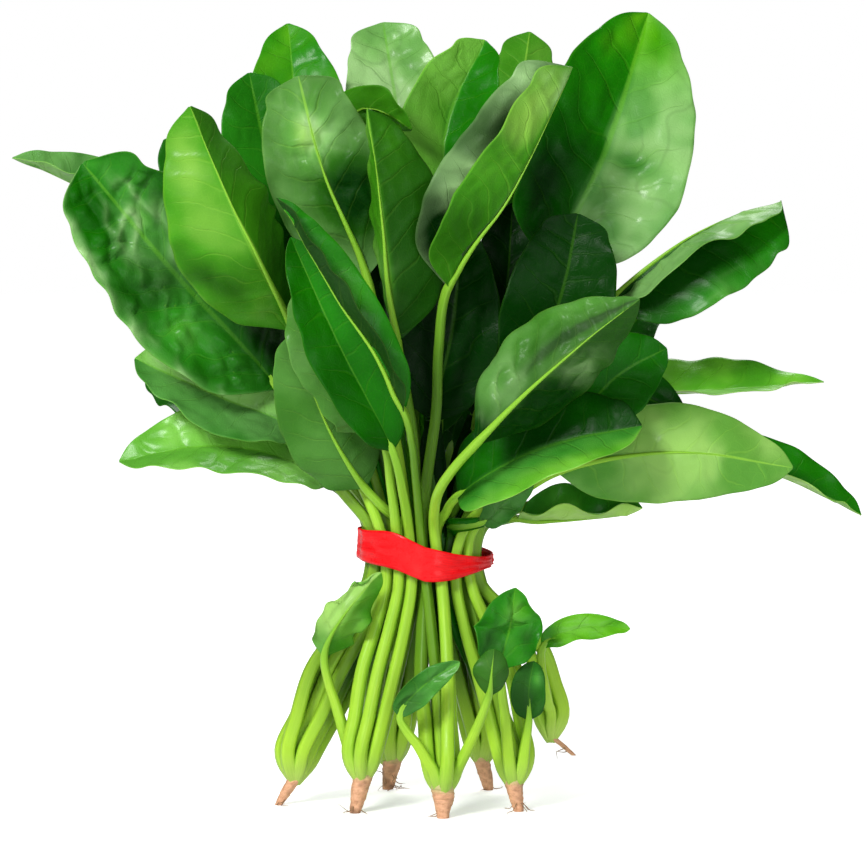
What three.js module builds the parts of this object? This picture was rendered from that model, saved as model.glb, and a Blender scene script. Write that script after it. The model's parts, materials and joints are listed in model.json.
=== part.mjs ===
// A bunch of fresh spinach: seven whole plants stood side by side on their trimmed roots, their leaf
// stalks drawn together by one red band. Above the band the blades fan out, and a few small leaves
// hang free below it. Millimetres, +Z up, the cut roots on Z = 0, and the side seen first at -Y.
import * as THREE from "three";

// Driving sizes.
const BUNCH_SHIFT = [-0.1, -19.9, 0]; // puts the middle of the whole bunch over the origin
const NECK = { x: -3.5, y: 0, z: 108.5, halfWide: 27.5, halfDeep: 25, low: 96, high: 118 };
const BAND = { thick: 0.9, tall: 12.5, pinched: 6, pinchSpan: 0.12, clear: 0.6, middle: 105.5, steps: 40 };
const BAND_RISE = { left: 6.3, right: 0.9, back: 1 }; // how far the band lifts on each side
const BLADE = { thick: 0.8, stations: [0.08, 0.24, 0.44, 0.66, 0.86, 0.97, 1], across: [-1, -0.5, 0, 0.5, 1] };
const STALK = { base: 2.15, perWidth: 1 / 105, taper: 0.25, gap: 0.7, sides: 6, stepsEach: 2, rib: 0.6 };
const CROWN = { pitch: 5.6, outerRing: 1.75, height: 8, gap: 0.35, margin: 2.6, sides: 9 };
const EGG = { skew: 0.84, fullness: 0.64, roundest: 0.5 }; // the blade's outline
const RIPPLE = { turns: 13.8, sideShift: 1.3 }; // the wave along a blade's edge, in radians

// How the leaves are spread: the squares of the front view in which blades are compared, the free
// space between blades, how far a point may move from its first place, and the size of each step.
const SPREAD = { rounds: 200, cell: 5, bladeGap: 1.9, stalkGap: 1.1, most: 26, spring: 0.01 };
const STEP = { blade: 0.5, stalk: 0.6, eager: 1.1, leastWeight: 0.6, mostY: 3, mostX: 2 };
const SAMPLES = { alongStalk: 0.1, alongBlade: 18, sideways: 8 };

// The seven plants. root is the cut end of the taproot, collar the top of the root where the leaf
// stalks start, girth the root's radius, and stalks the number of leaves that the plant carries.
const PLANTS = [
  { root: [-66, -6, 0], collar: [-59, -6, 12], girth: 2.8, stalks: 8 },
  { root: [-33, -26, 0], collar: [-30, -25, 15], girth: 3.6, stalks: 7 },
  { root: [4, -38, 0], collar: [4, -36, 11], girth: 4.2, stalks: 7 },
  { root: [36, -22, 0], collar: [34, -21, 12], girth: 3.4, stalks: 7 },
  { root: [60, 2, 20], collar: [50, 2, 29], girth: 1.8, stalks: 5 },
  { root: [24, 32, 0], collar: [21, 30, 14], girth: 3.4, stalks: 7 },
  { root: [-20, 34, 0], collar: [-18, 31, 13], girth: 3.8, stalks: 8 },
];

// The leaves that the front shows. base, mid and tip are points on the midrib, wide is the blade's
// width, face the way its upper side looks, lift the fold of its left and right half in degrees,
// curl the further bend out to each edge, wave the height of the edge's ripple, lobe the width of
// the two ears at its base, blunt how round its tip is, halves how wide its left and right half are
// against the usual, and plant the plant of a leaf that stays below the band.
const LEAVES = [
  { name: "leaf_far_left", base: [-72, 16, 196], mid: [-132, 22, 252], tip: [-180, 16, 275],
    wide: 36, face: [0.2, -0.5, 0.8], lift: [50, 50] },
  { name: "leaf_left_blistered", base: [-66, -14, 178], mid: [-108, -26, 226], tip: [-146, -26, 273],
    wide: 64, face: [0, -1, 0.1], lift: [5, 5], curl: 30, wave: 2, blunt: 0.8 },
  { name: "leaf_left_smooth", base: [-59, -44, 204], mid: [-77, -58, 245], tip: [-99, -60, 296],
    wide: 62, face: [0, 1, 0], lift: [58, 5], curl: 10, blunt: 0.4 },
  { name: "leaf_left_behind", base: [-62, 4, 205], mid: [-90, 6, 245], tip: [-114, 2, 283],
    wide: 40, face: [0, -1, 0.3], lift: [12, 12] },
  { name: "leaf_top_left", base: [-42, 12, 222], mid: [-56, 20, 278], tip: [-63, 40, 333],
    wide: 52, face: [0, -1, 0], lift: [12, 12], curl: 8, blunt: 0.2 },
  { name: "leaf_top_left_dark", base: [-50, -8, 215], mid: [-68, -4, 268], tip: [-78, 2, 311],
    wide: 44, face: [0.2, -1, 0], lift: [14, 14], blunt: 0.5 },
  { name: "leaf_olive", base: [-28, -26, 226], mid: [-46, -34, 270], tip: [-56, -30, 309],
    wide: 48, face: [0, 1, 0.1], lift: [8, 8], curl: -12, wave: 2, blunt: 0.9 },
  { name: "leaf_centre_ridge", base: [-15, -36, 200], mid: [-21, -48, 250], tip: [-27, -50, 295],
    wide: 56, face: [0, 1, 0], lift: [14, 78], curl: 8 },
  { name: "leaf_narrow_fold", base: [-12, -64, 172], mid: [-40, -78, 222], tip: [-63, -84, 259],
    wide: 25, face: [0.7, -0.5, 0.5], lift: [54, 54] },
  { name: "leaf_dark_strip", base: [-17, -48, 155], mid: [-39, -62, 200], tip: [-58, -66, 243],
    wide: 30, face: [0.1, -1, 0], lift: [22, 22] },
  { name: "leaf_ragged", base: [-22, -42, 163], mid: [-41, -56, 190], tip: [-55, -60, 222],
    wide: 36, face: [0, 1, 0], lift: [4, 12], wave: 3, lobe: 0.5 },
  { name: "leaf_grey_oval", base: [-29, -24, 137], mid: [-45, -46, 166], tip: [-58, -54, 203],
    wide: 40, face: [0, 1, 0], lift: [10, 10], curl: 10, blunt: 0.3 },
  { name: "leaf_left_cupped", base: [-54, 0, 158], mid: [-90, 2, 173], tip: [-127, 2, 190],
    wide: 40, face: [0, -0.9, 0.5], lift: [12, 25], curl: 20, wave: 2, blunt: 0.3 },
  { name: "leaf_left_low", base: [-43, 6, 137], mid: [-87, 8, 152], tip: [-134, 4, 146],
    wide: 42, face: [0, -0.75, 0.65], lift: [20, 16], curl: 14 },
  { name: "leaf_top_pale", base: [-10, 24, 240], mid: [-15, 32, 290], tip: [-22, 54, 334],
    wide: 46, face: [0, -1, 0.3], lift: [8, 8], curl: 10, blunt: 0.9 },
  { name: "leaf_small_curl", base: [-26, -4, 240], mid: [-31, -8, 296], tip: [-9, -20, 287],
    wide: 26, face: [0.3, 0.6, 0.6], lift: [15, 15] },
  { name: "leaf_top_fold", base: [4, 4, 240], mid: [6, 8, 290], tip: [22, 12, 325],
    wide: 46, face: [0.3, -1, 0], lift: [10, 45], curl: 10, blunt: 0.5 },
  { name: "leaf_top_small", base: [28, 26, 245], mid: [36, 36, 292], tip: [42, 56, 330],
    wide: 34, face: [0, 1, 0], lift: [10, 10], blunt: 0.8 },
  { name: "leaf_silver_twist", base: [6, -44, 222], mid: [32, -56, 261], tip: [57, -52, 312],
    wide: 78, face: [0, -1, 0], lift: [8, 140], curl: 6, wave: 2, halves: [0.8, 0.6], blunt: 0.9 },
  { name: "leaf_top_right", base: [50, -4, 230], mid: [73, -2, 279], tip: [92, 26, 337],
    wide: 76, face: [0.1, -1, 0], lift: [16, 10], curl: 10, wave: 1.5, blunt: 0.1 },
  { name: "leaf_dark_inner", base: [38, -26, 180], mid: [53, -32, 218], tip: [60, -30, 252],
    wide: 46, face: [0, -1, 0.1], lift: [12, 12], blunt: 0.7 },
  { name: "leaf_right_upper", base: [72, -16, 212], mid: [109, -18, 243], tip: [146, -12, 257],
    wide: 60, face: [0, -1, 0.2], lift: [115, 8], curl: 8, wave: 2, halves: [0.65, 1.05], blunt: 0.9 },
  { name: "leaf_front_ridge", base: [18, -70, 160], mid: [50, -90, 193], tip: [82, -98, 219],
    wide: 50, face: [0, 1, 0], lift: [42, 30], curl: 10, blunt: -0.5 },
  { name: "leaf_right_round", base: [56, -44, 164], mid: [76, -50, 186], tip: [96, -48, 197],
    wide: 34, face: [0, -1, 0], lift: [10, 10] },
  { name: "leaf_right_dark", base: [45, -22, 155], mid: [76, -26, 178], tip: [106, -22, 167],
    wide: 30, face: [0, -0.8, 0.6], lift: [15, 15] },
  { name: "leaf_front_cup", base: [10, -40, 135], mid: [46, -58, 157], tip: [85, -64, 166],
    wide: 46, face: [0, -0.8, 0.6], lift: [18, 24], blunt: 0.5 },
  { name: "leaf_right_pale", base: [52, -34, 145], mid: [101, -42, 154], tip: [149, -40, 147],
    wide: 42, face: [0, 1, -0.1], lift: [8, 8], curl: 8 },
  { name: "leaf_right_far", base: [90, -14, 146], mid: [138, -20, 144], tip: [180, -18, 125],
    wide: 30, face: [0.2, -0.5, 0.8], lift: [38, 38] },
  { name: "leaf_right_thin", base: [70, 4, 172], mid: [116, 6, 176], tip: [166, 2, 180],
    wide: 36, face: [0, -0.4, 0.9], lift: [24, 24], wave: 1.5, blunt: -0.9 },
  { name: "leaf_right_low", base: [36, -8, 123], mid: [62, -14, 124], tip: [88, -16, 128],
    wide: 30, face: [0, -0.4, 0.9], lift: [48, 44], wave: 1.5 },
  { name: "leaf_neck_crumpled", base: [20, -23, 123], mid: [29, -28, 131], tip: [41, -29, 142],
    wide: 14, face: [0.4, -1, 0], lift: [20, 20], wave: 1.5 },
  { name: "leaf_heart_left", base: [-32, -8, 182], mid: [-37, -12, 222], tip: [-38, -8, 262],
    wide: 42, face: [0, -1, 0], lift: [14, 14] },
  { name: "leaf_heart_mid", base: [0, -18, 165], mid: [8, -22, 205], tip: [12, -20, 248],
    wide: 42, face: [0, -1, 0], lift: [14, 14] },
  { name: "leaf_heart_right", base: [18, 10, 165], mid: [30, 16, 210], tip: [34, 20, 256],
    wide: 40, face: [0, -1, 0], lift: [14, 14] },
  { name: "small_leaf_left", plant: 1, base: [-46, -22, 66], mid: [-38, -28, 84], tip: [-22, -28, 102],
    wide: 27, face: [0, 1, 0], lift: [30, 10], wave: 2, lobe: 0.4 },
  { name: "small_leaf_front", plant: 2, base: [-14, -42, 43], mid: [-4, -47, 57], tip: [11, -48, 67],
    wide: 19, face: [0, -1, 0], lift: [20, 20] },
  { name: "small_leaf_right", plant: 3, base: [28, -36, 62], mid: [32, -41, 80], tip: [34, -41, 97],
    wide: 30, face: [0, -1, 0], lift: [15, 15], wave: 2 },
  { name: "small_leaf_pointing", plant: 4, base: [46, -14, 70], mid: [62, -18, 77], tip: [83, -18, 77],
    wide: 16, face: [0, -1, 0.4], lift: [15, 15] },
  { name: "small_leaf_curled", plant: 2, base: [23, -47, 53], mid: [24, -52, 63], tip: [25, -53, 73],
    wide: 16, face: [0, 1, 0], lift: [20, 20] },
  { name: "small_leaf_edge", plant: 3, base: [40, -28, 40], mid: [40, -33, 53], tip: [42, -34, 65],
    wide: 16, face: [0, -1, 0], lift: [12, 12] },
];

const radians = THREE.MathUtils.degToRad;
const vector = (a) => new THREE.Vector3(...a);

// The leaves behind, which lean out from the neck in a fan. Each turns a little to the front, so
// that the ones at the sides aren't seen on edge.
const BACK_FAN = { count: 9, from: 30, to: 150, leans: [46, 38, 60], base: 56, tip: 165, wide: 52 };
for (let i = 0; i < BACK_FAN.count; i++) {
  const azimuth = radians(BACK_FAN.from + ((BACK_FAN.to - BACK_FAN.from) * i) / (BACK_FAN.count - 1));
  const lean = radians(BACK_FAN.leans[i % BACK_FAN.leans.length]);
  const out = [Math.cos(azimuth), Math.sin(azimuth)];
  const along = (reach, droop) => [
    NECK.x + out[0] * reach * Math.sin(lean),
    NECK.y + out[1] * reach * Math.sin(lean),
    NECK.z + reach * Math.cos(lean) - droop,
  ];
  LEAVES.push({
    name: `leaf_back_${i + 1}`,
    base: along(BACK_FAN.base, 0),
    mid: along((BACK_FAN.base + BACK_FAN.tip) / 2, 0),
    tip: along(BACK_FAN.tip, 12),
    wide: BACK_FAN.wide,
    face: [-out[0] * Math.cos(lean) * 0.4, -1, Math.sin(lean)],
    lift: [14, 14],
    curl: 8,
    wave: 2,
  });
}

// A stalk is thicker on a bigger leaf.
const stalkRadius = (leaf) => STALK.base + leaf.wide * STALK.perWidth;
const isLow = (leaf) => leaf.plant !== undefined;

// Pushes round stalks apart in one level plane until none touch, and keeps them inside an oval.
function settle(spots, oval) {
  for (let round = 0; round < 400; round++) {
    for (let i = 0; i < spots.length; i++)
      for (let j = i + 1; j < spots.length; j++) {
        const [a, b] = [spots[i], spots[j]];
        const [dx, dy] = [b.x - a.x, b.y - a.y];
        const apart = Math.hypot(dx, dy) || 1e-6;
        const short = (a.r + b.r + STALK.gap - apart) / 2;
        if (short <= 0) continue;
        a.x -= (dx / apart) * short;
        a.y -= (dy / apart) * short;
        b.x += (dx / apart) * short;
        b.y += (dy / apart) * short;
      }
    if (oval) spots.forEach((p) => keepInside(p, p.r, oval));
  }
}

function keepInside(p, r, oval) {
  const far = Math.hypot((p.x - oval.x) / (oval.halfWide - r), (p.y - oval.y) / (oval.halfDeep - r));
  if (far <= 1) return;
  p.x = oval.x + (p.x - oval.x) / far;
  p.y = oval.y + (p.y - oval.y) / far;
}

// Pairs each item of one list with one of the other so that their squared distances add up to the
// least that swapping two can reach. Straight lines between such pairs don't cross.
function pairUp(from, to) {
  const pick = from.map((_, i) => i);
  const cost = (i, k) => (from[i].x - to[k].x) ** 2 + (from[i].y - to[k].y) ** 2;
  for (let changed = true; changed; ) {
    changed = false;
    for (let i = 0; i < from.length; i++)
      for (let j = i + 1; j < from.length; j++)
        if (cost(i, pick[j]) + cost(j, pick[i]) < cost(i, pick[i]) + cost(j, pick[j]) - 1e-6) {
          [pick[i], pick[j]] = [pick[j], pick[i]];
          changed = true;
        }
  }
  return pick.map((k) => to[k]);
}

// Where each long stalk passes through the band: towards its own blade, then side by side.
const high = LEAVES.filter((leaf) => !isLow(leaf));
const neckSpots = high.map((leaf) => {
  const [dx, dy] = [leaf.base[0] - NECK.x, leaf.base[1] - NECK.y];
  const share = 1 / (1 + Math.hypot(dx / NECK.halfWide, dy / NECK.halfDeep));
  return { x: NECK.x + dx * share, y: NECK.y + dy * share, r: stalkRadius(leaf) };
});
settle(neckSpots, NECK);

// Where each stalk starts on its plant: in rings round the middle of the crown. The small leaves
// take the nearest places, and the long stalks share out the rest.
const crownSpots = PLANTS.flatMap((plant, k) =>
  Array.from({ length: plant.stalks }, (_, i) => {
    const ring = i === 0 ? 0 : i < 7 ? 1 : CROWN.outerRing;
    const turn = i < 7 ? (i * Math.PI) / 3 + k * 0.4 : Math.PI / 6 + (i - 7) * Math.PI + k * 0.4;
    return {
      x: plant.collar[0] + ring * CROWN.pitch * Math.cos(turn),
      y: plant.collar[1] + ring * CROWN.pitch * Math.sin(turn),
      z: plant.collar[2] + CROWN.height + CROWN.gap,
      plant,
    };
  }),
);
const feet = new Map();
for (const leaf of LEAVES.filter(isLow)) {
  const own = crownSpots.filter((spot) => spot.plant === PLANTS[leaf.plant]);
  const far = (spot) => Math.hypot(spot.x - leaf.base[0], spot.y - leaf.base[1]);
  const closest = own.reduce((best, spot) => (far(spot) < far(best) ? spot : best));
  feet.set(leaf, closest);
  crownSpots.splice(crownSpots.indexOf(closest), 1);
}
pairUp(neckSpots, crownSpots).forEach((spot, i) => feet.set(high[i], spot));

// The points that a leaf passes through, from its foot to its tip. blade counts the ones before the
// blade starts, home keeps their first places, and the ones listed in inBand stay inside the band.
const ways = LEAVES.map((leaf) => {
  const foot = feet.get(leaf);
  const points = [new THREE.Vector3(foot.x, foot.y, foot.z)];
  const neck = isLow(leaf) ? null : neckSpots[high.indexOf(leaf)];
  const base = vector(leaf.base);
  if (neck) {
    const low = new THREE.Vector3(neck.x, neck.y, NECK.low);
    const top = new THREE.Vector3(neck.x, neck.y, NECK.high);
    points.push(points[0].clone().lerp(low, 0.5), low, top, top.clone().lerp(base, 0.5));
  } else {
    points.push(points[0].clone().lerp(base, 0.5));
  }
  const blade = points.length;
  points.push(base, vector(leaf.mid), vector(leaf.tip));
  return { leaf, points, blade, home: points.map((p) => p.clone()), inBand: neck ? [2, 3] : [] };
});

const curveOf = (way) => new THREE.CatmullRomCurve3(way.points, false, "centripetal");

// Half the blade's width at u, as a share of its greatest: egg-shaped, its tip as round as blunt says.
function bladeOutline(u, lobe = 0, blunt = 0) {
  const turn = Math.PI * Math.pow(Math.min(Math.max(u, 0), 1), EGG.skew);
  const fullness = turn > Math.PI / 2 ? EGG.fullness * (1 - EGG.roundest * blunt) : EGG.fullness;
  const body = Math.pow(Math.sin(turn), fullness);
  const ears = lobe * Math.exp(-Math.pow((u - 0.14) / 0.07, 2));
  return Math.max(body, 0) + ears;
}

// The place and directions at u along the blade: t towards the tip, n the way the upper side
// looks, and s to its right.
function spineAt(way, curve, u) {
  const k = (way.blade + u * 2) / (way.points.length - 1);
  const t = curve.getTangent(k);
  return { at: curve.getPoint(k), ...across(t, vector(way.leaf.face)) };
}
function across(t, face) {
  const n = face.clone().addScaledVector(t, -face.dot(t)).normalize();
  return { t, n, s: t.clone().cross(n) };
}

// A point of the blade's middle surface and the direction of its thickness there.
function bladePoint(leaf, spine, u, v) {
  const side = Math.sign(v);
  const far = Math.abs(v);
  const half = (leaf.wide / 2) * (leaf.halves ?? [1, 1])[v < 0 ? 0 : 1];
  const reach = far * half * bladeOutline(u, leaf.lobe, leaf.blunt) + far * 0.5;
  const lift = radians(leaf.lift[v < 0 ? 0 : 1]);
  const curl = radians((leaf.curl ?? 0) + 0.1) * far;
  const out = (reach * (Math.sin(lift + curl) - Math.sin(lift))) / (curl || 1);
  const up = (reach * (Math.cos(lift) - Math.cos(lift + curl))) / (curl || 1);
  const turn = lift + curl;
  const thickness = spine.n.clone().multiplyScalar(Math.cos(turn));
  thickness.addScaledVector(spine.s, -side * Math.sin(turn));
  const swing = Math.sin(RIPPLE.turns * u + RIPPLE.sideShift * side) * Math.sin(Math.PI * u);
  const ripple = (leaf.wave ?? 0) * swing * far * far;
  const at = spine.at.clone().addScaledVector(spine.s, side * out).addScaledVector(spine.n, up);
  return { at: at.addScaledVector(thickness, ripple), thickness };
}

// Spreading the leaves. Where two blades lie one behind the other, the one in front stays in front,
// and both move along Y until they are clear. Stalks push each other aside.
// The parts of every leaf that share a square of the front view, with their reach in Y there.
function squares() {
  const grid = new Map();
  const put = (i, part, at, r, k) => {
    const key = `${Math.floor(at.x / SPREAD.cell)},${Math.floor(at.z / SPREAD.cell)}`;
    if (!grid.has(key)) grid.set(key, new Map());
    const square = grid.get(key);
    const own = `${i}${part}`;
    const entry = square.get(own) ?? { i, part, near: Infinity, far: -Infinity };
    if (at.y - r < entry.near) Object.assign(entry, { near: at.y - r, nearAt: k });
    if (at.y + r > entry.far) Object.assign(entry, { far: at.y + r, farAt: k });
    square.set(own, entry);
  };
  ways.forEach((way, i) => {
    const curve = curveOf(way);
    const last = way.points.length - 1;
    for (let k = 0; k <= way.blade; k += SAMPLES.alongStalk)
      put(i, "stalk", curve.getPoint(k / last), stalkRadius(way.leaf), k);
    for (let a = 0; a <= SAMPLES.alongBlade; a++) {
      const u = a / SAMPLES.alongBlade;
      const spine = spineAt(way, curve, u);
      for (let c = -SAMPLES.sideways; c <= SAMPLES.sideways; c++) {
        const { at } = bladePoint(way.leaf, spine, u, c / SAMPLES.sideways);
        put(i, "blade", at, BLADE.thick / 2, way.blade + 2 * u);
      }
    }
  });
  return grid;
}

const order = new Map();
const pairName = (a, b) => `${a.i}${a.part}${b.i}${b.part}`;
const pairsIn = (square) => {
  const list = [...square.values()];
  return list.flatMap((a, n) => list.slice(n + 1).filter((b) => a.i !== b.i).map((b) => [a, b]));
};
for (const square of squares().values())
  for (const [a, b] of pairsIn(square)) {
    const behind = (b.near + b.far - a.near - a.far) / 2;
    order.set(pairName(a, b), (order.get(pairName(a, b)) ?? 0) + behind);
    order.set(pairName(b, a), (order.get(pairName(b, a)) ?? 0) - behind);
  }

// Moves a leaf at k along its points, shared between the points before and after.
function nudge(way, moves, k, dx, dy) {
  const before = Math.min(Math.floor(k), way.points.length - 2);
  for (const [point, share] of [[before, 1 - (k - before)], [before + 1, k - before]]) {
    moves[point].x += dx * share;
    moves[point].y += dy * share;
    moves[point].weight += share;
  }
}

// The nearest points of two straight pieces, as shares along each.
function nearest(p, q, r, s) {
  const [d1, d2, w] = [q.clone().sub(p), s.clone().sub(r), p.clone().sub(r)];
  const [a, b, c, d, e] = [d1.dot(d1), d1.dot(d2), d2.dot(d2), d1.dot(w), d2.dot(w)];
  const limit = (value) => Math.min(Math.max(value, 0), 1);
  const flat = a * c - b * b;
  let f = flat > 1e-6 ? limit((b * e - c * d) / flat) : 0;
  const g = limit((b * f + e) / c);
  f = limit((b * g - d) / a);
  return [f, g];
}

// Blades, and a blade and a stalk, that are too close in the front view's depth.
function pushBlades(moves) {
  for (const square of squares().values())
    for (const [one, two] of pairsIn(square)) {
      if (one.part === "stalk" && two.part === "stalk") continue;
      const [a, b] = order.get(pairName(one, two)) > 0 ? [one, two] : [two, one];
      const gap = one.part === two.part ? SPREAD.bladeGap : SPREAD.stalkGap;
      const short = a.far + gap - b.near;
      if (short <= 0) continue;
      nudge(ways[a.i], moves[a.i], a.farAt, 0, -short * STEP.blade);
      nudge(ways[b.i], moves[b.i], b.nearAt, 0, short * STEP.blade);
    }
}

// Stalks that are too close, taken as short straight pieces.
function pushStalks(moves) {
  const pieces = ways.flatMap((way, i) => {
    const curve = curveOf(way);
    const last = way.points.length - 1;
    return Array.from({ length: way.blade * 2 }, (_, n) => {
      const from = curve.getPoint(n / 2 / last);
      const to = curve.getPoint((n + 1) / 2 / last);
      const box = new THREE.Box3().setFromPoints([from, to]);
      return { i, k: n / 2, from, to, box, r: stalkRadius(way.leaf) };
    });
  });
  for (let n = 0; n < pieces.length; n++)
    for (let m = n + 1; m < pieces.length; m++) {
      const [a, b] = [pieces[n], pieces[m]];
      const need = a.r + b.r + STALK.gap;
      if (a.i === b.i || !a.box.clone().expandByScalar(need).intersectsBox(b.box)) continue;
      const [f, g] = nearest(a.from, a.to, b.from, b.to);
      const between = b.from.clone().lerp(b.to, g).sub(a.from.clone().lerp(a.to, f));
      const short = need - between.length();
      if (short <= 0) continue;
      const flat = Math.hypot(between.x, between.y) || 1;
      const [dx, dy] = [(between.x / flat) * short * STEP.stalk, (between.y / flat) * short * STEP.stalk];
      nudge(ways[a.i], moves[a.i], a.k + f / 2, -dx, -dy);
      nudge(ways[b.i], moves[b.i], b.k + g / 2, dx, dy);
    }
}

for (let round = 0; round < SPREAD.rounds; round++) {
  const moves = ways.map((way) => way.points.map(() => ({ x: 0, y: 0, weight: 0 })));
  pushBlades(moves);
  pushStalks(moves);
  ways.forEach((way, i) => {
    way.points.forEach((point, k) => {
      const move = moves[i][k];
      if (k === 0 || move.weight === 0) return;
      const share = STEP.eager / Math.max(move.weight, STEP.leastWeight);
      point.y += THREE.MathUtils.clamp(move.y * share, -STEP.mostY, STEP.mostY);
      if (k < way.blade) point.x += THREE.MathUtils.clamp(move.x * share, -STEP.mostX, STEP.mostX);
      const rest = way.home[k];
      point.y += (rest.y - point.y) * SPREAD.spring;
      point.y = THREE.MathUtils.clamp(point.y, rest.y - SPREAD.most, rest.y + SPREAD.most);
      if (way.inBand.includes(k)) keepInside(point, stalkRadius(way.leaf) + 0.2, NECK);
    });
  });
}

// Building solids from rings of points. Each ring runs the same way round the direction of travel,
// and neighbouring rings may hold different numbers of points.
function loft(rings) {
  const spots = [];
  const faces = [];
  const starts = rings.map((ring) => {
    const start = spots.length;
    spots.push(...ring);
    return start;
  });
  for (let n = 0; n + 1 < rings.length; n++) {
    const [a, b] = [rings[n].length, rings[n + 1].length];
    const [from, to] = [starts[n], starts[n + 1]];
    if (a === b && a === BLADE.across.length * 2) {
      bladeBand(faces, from, to, a);
      continue;
    }
    for (let i = 0, j = 0; i < a || j < b; ) {
      const goA = j >= b || (i < a && (i + 1) / a <= (j + 1) / b);
      if (goA) faces.push([from + (i % a), from + ((i + 1) % a), to + (j % b)]);
      else faces.push([from + (i % a), to + ((j + 1) % b), to + (j % b)]);
      if (goA) i += 1;
      else j += 1;
    }
  }
  const end = starts[starts.length - 1];
  for (let i = 1; i + 1 < rings[0].length; i++) faces.push([0, i + 1, i]);
  capEnd(faces, end, rings[rings.length - 1].length);
  return solid(spots, faces);
}

// Between two blade rings the upper and the under side are split along the same diagonals.
function bladeBand(faces, from, to, count) {
  const half = count / 2;
  for (let j = 0; j < count; j++) {
    const k = (j + 1) % count;
    const [a, b, c, d] = [from + j, from + k, to + k, to + j];
    const upper = j < half - 1;
    const leftPart = upper ? j < (half - 1) / 2 : j >= half && j < count - 1 && count - 2 - j < (half - 1) / 2;
    if (upper === leftPart) faces.push([a, b, c], [a, c, d]);
    else faces.push([a, b, d], [b, c, d]);
  }
}

function capEnd(faces, start, count) {
  if (count !== BLADE.across.length * 2) {
    for (let i = 1; i + 1 < count; i++) faces.push([start, start + i, start + i + 1]);
    return;
  }
  const half = count / 2;
  for (let j = 0; j + 1 < half; j++) {
    const [a, b] = [start + j, start + j + 1];
    const [c, d] = [start + count - 2 - j, start + count - 1 - j];
    faces.push([a, b, c], [a, c, d]);
  }
}

function solid(spots, faces) {
  const geometry = new THREE.BufferGeometry();
  const numbers = spots.flatMap((p) => [p.x + BUNCH_SHIFT[0], p.y + BUNCH_SHIFT[1], p.z + BUNCH_SHIFT[2]]);
  geometry.setAttribute("position", new THREE.Float32BufferAttribute(numbers, 3));
  geometry.setIndex(faces.flat());
  return geometry;
}

// A stalk narrows a little from its foot to the blade.
const stalkAt = (leaf, share) => stalkRadius(leaf) * (1 - STALK.taper * share);

function leafSolid(way) {
  const { leaf } = way;
  const curve = curveOf(way);
  const last = way.points.length - 1;
  const face = vector(leaf.face);
  const rings = [];
  for (let n = 0; n <= way.blade * STALK.stepsEach; n++) {
    const k = n / STALK.stepsEach;
    const { t, n: up, s } = across(curve.getTangent(k / last), face);
    const level = n === 0;
    const r = stalkAt(leaf, k / way.blade);
    const at = curve.getPoint(k / last);
    rings.push(
      Array.from({ length: STALK.sides }, (_, i) => {
        const turn = -Math.PI / 2 + (i * 2 * Math.PI) / STALK.sides;
        const p = at.clone().addScaledVector(up, r * Math.cos(turn)).addScaledVector(s, r * Math.sin(turn));
        if (level) p.z = at.z;
        return p;
      }),
    );
  }
  for (const u of BLADE.stations) {
    const spine = spineAt(way, curve, u);
    const at = BLADE.across.map((v) => bladePoint(leaf, spine, u, v));
    const rib = STALK.rib * stalkRadius(leaf) * (1 - u);
    const upper = at.map((p) => p.at.clone().addScaledVector(p.thickness, BLADE.thick / 2));
    const under = at.map((p, i) =>
      p.at.clone().addScaledVector(p.thickness, -BLADE.thick / 2 - (BLADE.across[i] === 0 ? rib : 0)),
    );
    rings.push([...upper, ...under.reverse()]);
  }
  return loft(rings);
}

// A plant's taproot, cut level at its end, and the crown that its leaf stalks stand on.
function plantSolid(plant) {
  const [root, collar] = [vector(plant.root), vector(plant.collar)];
  const spots = crownUse.get(plant);
  const widest = Math.max(...spots.map((p) => Math.hypot(p.x - collar.x, p.y - collar.y))) + CROWN.margin;
  const top = collar.clone().setZ(collar.z + CROWN.height);
  const lengths = [
    [root, plant.girth * 0.62],
    [root.clone().lerp(collar, 0.45), plant.girth * 0.9],
    [collar, plant.girth * 1.15],
    [collar.clone().lerp(top, 0.3), widest * 0.72],
    [collar.clone().lerp(top, 0.65), widest * 0.96],
    [top, widest],
  ];
  return loft(
    lengths.map(([at, r]) =>
      Array.from({ length: CROWN.sides }, (_, i) => {
        const turn = (i * 2 * Math.PI) / CROWN.sides;
        return new THREE.Vector3(at.x + r * Math.cos(turn), at.y + r * Math.sin(turn), at.z);
      }),
    ),
  );
}

// The red band: one strip round all the stalks, higher at the left and pinched narrow at the right.
function bandSolid() {
  const rings = Array.from({ length: BAND.steps }, (_, i) => {
    const turn = (i * 2 * Math.PI) / BAND.steps;
    const [c, s] = [Math.cos(turn), Math.sin(turn)];
    const narrow = Math.exp(-Math.pow((1 - c) / BAND.pinchSpan, 2));
    const tall = BAND.tall - (BAND.tall - BAND.pinched) * narrow;
    const middle = BAND.middle + (c < 0 ? -BAND_RISE.left : BAND_RISE.right) * c + BAND_RISE.back * s;
    const ring = (r, z) =>
      new THREE.Vector3(NECK.x + (NECK.halfWide + r) * c, NECK.y + (NECK.halfDeep + r) * s, z);
    const [inner, outer] = [BAND.clear, BAND.clear + BAND.thick];
    return [
      ring(inner, middle - tall / 2),
      ring(outer, middle - tall / 2),
      ring(outer, middle + tall / 2),
      ring(inner, middle + tall / 2),
    ];
  });
  const spots = rings.flat();
  const faces = [];
  rings.forEach((_, i) => {
    const next = (i + 1) % rings.length;
    for (let j = 0; j < 4; j++) {
      const k = (j + 1) % 4;
      const [a, b, c, d] = [i * 4 + j, i * 4 + k, next * 4 + k, next * 4 + j];
      faces.push([a, c, b], [a, d, c]);
    }
  });
  return solid(spots, faces);
}

const footSpots = [...feet.values()];
const crownUse = new Map(PLANTS.map((plant) => [plant, footSpots.filter((spot) => spot.plant === plant)]));

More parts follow.
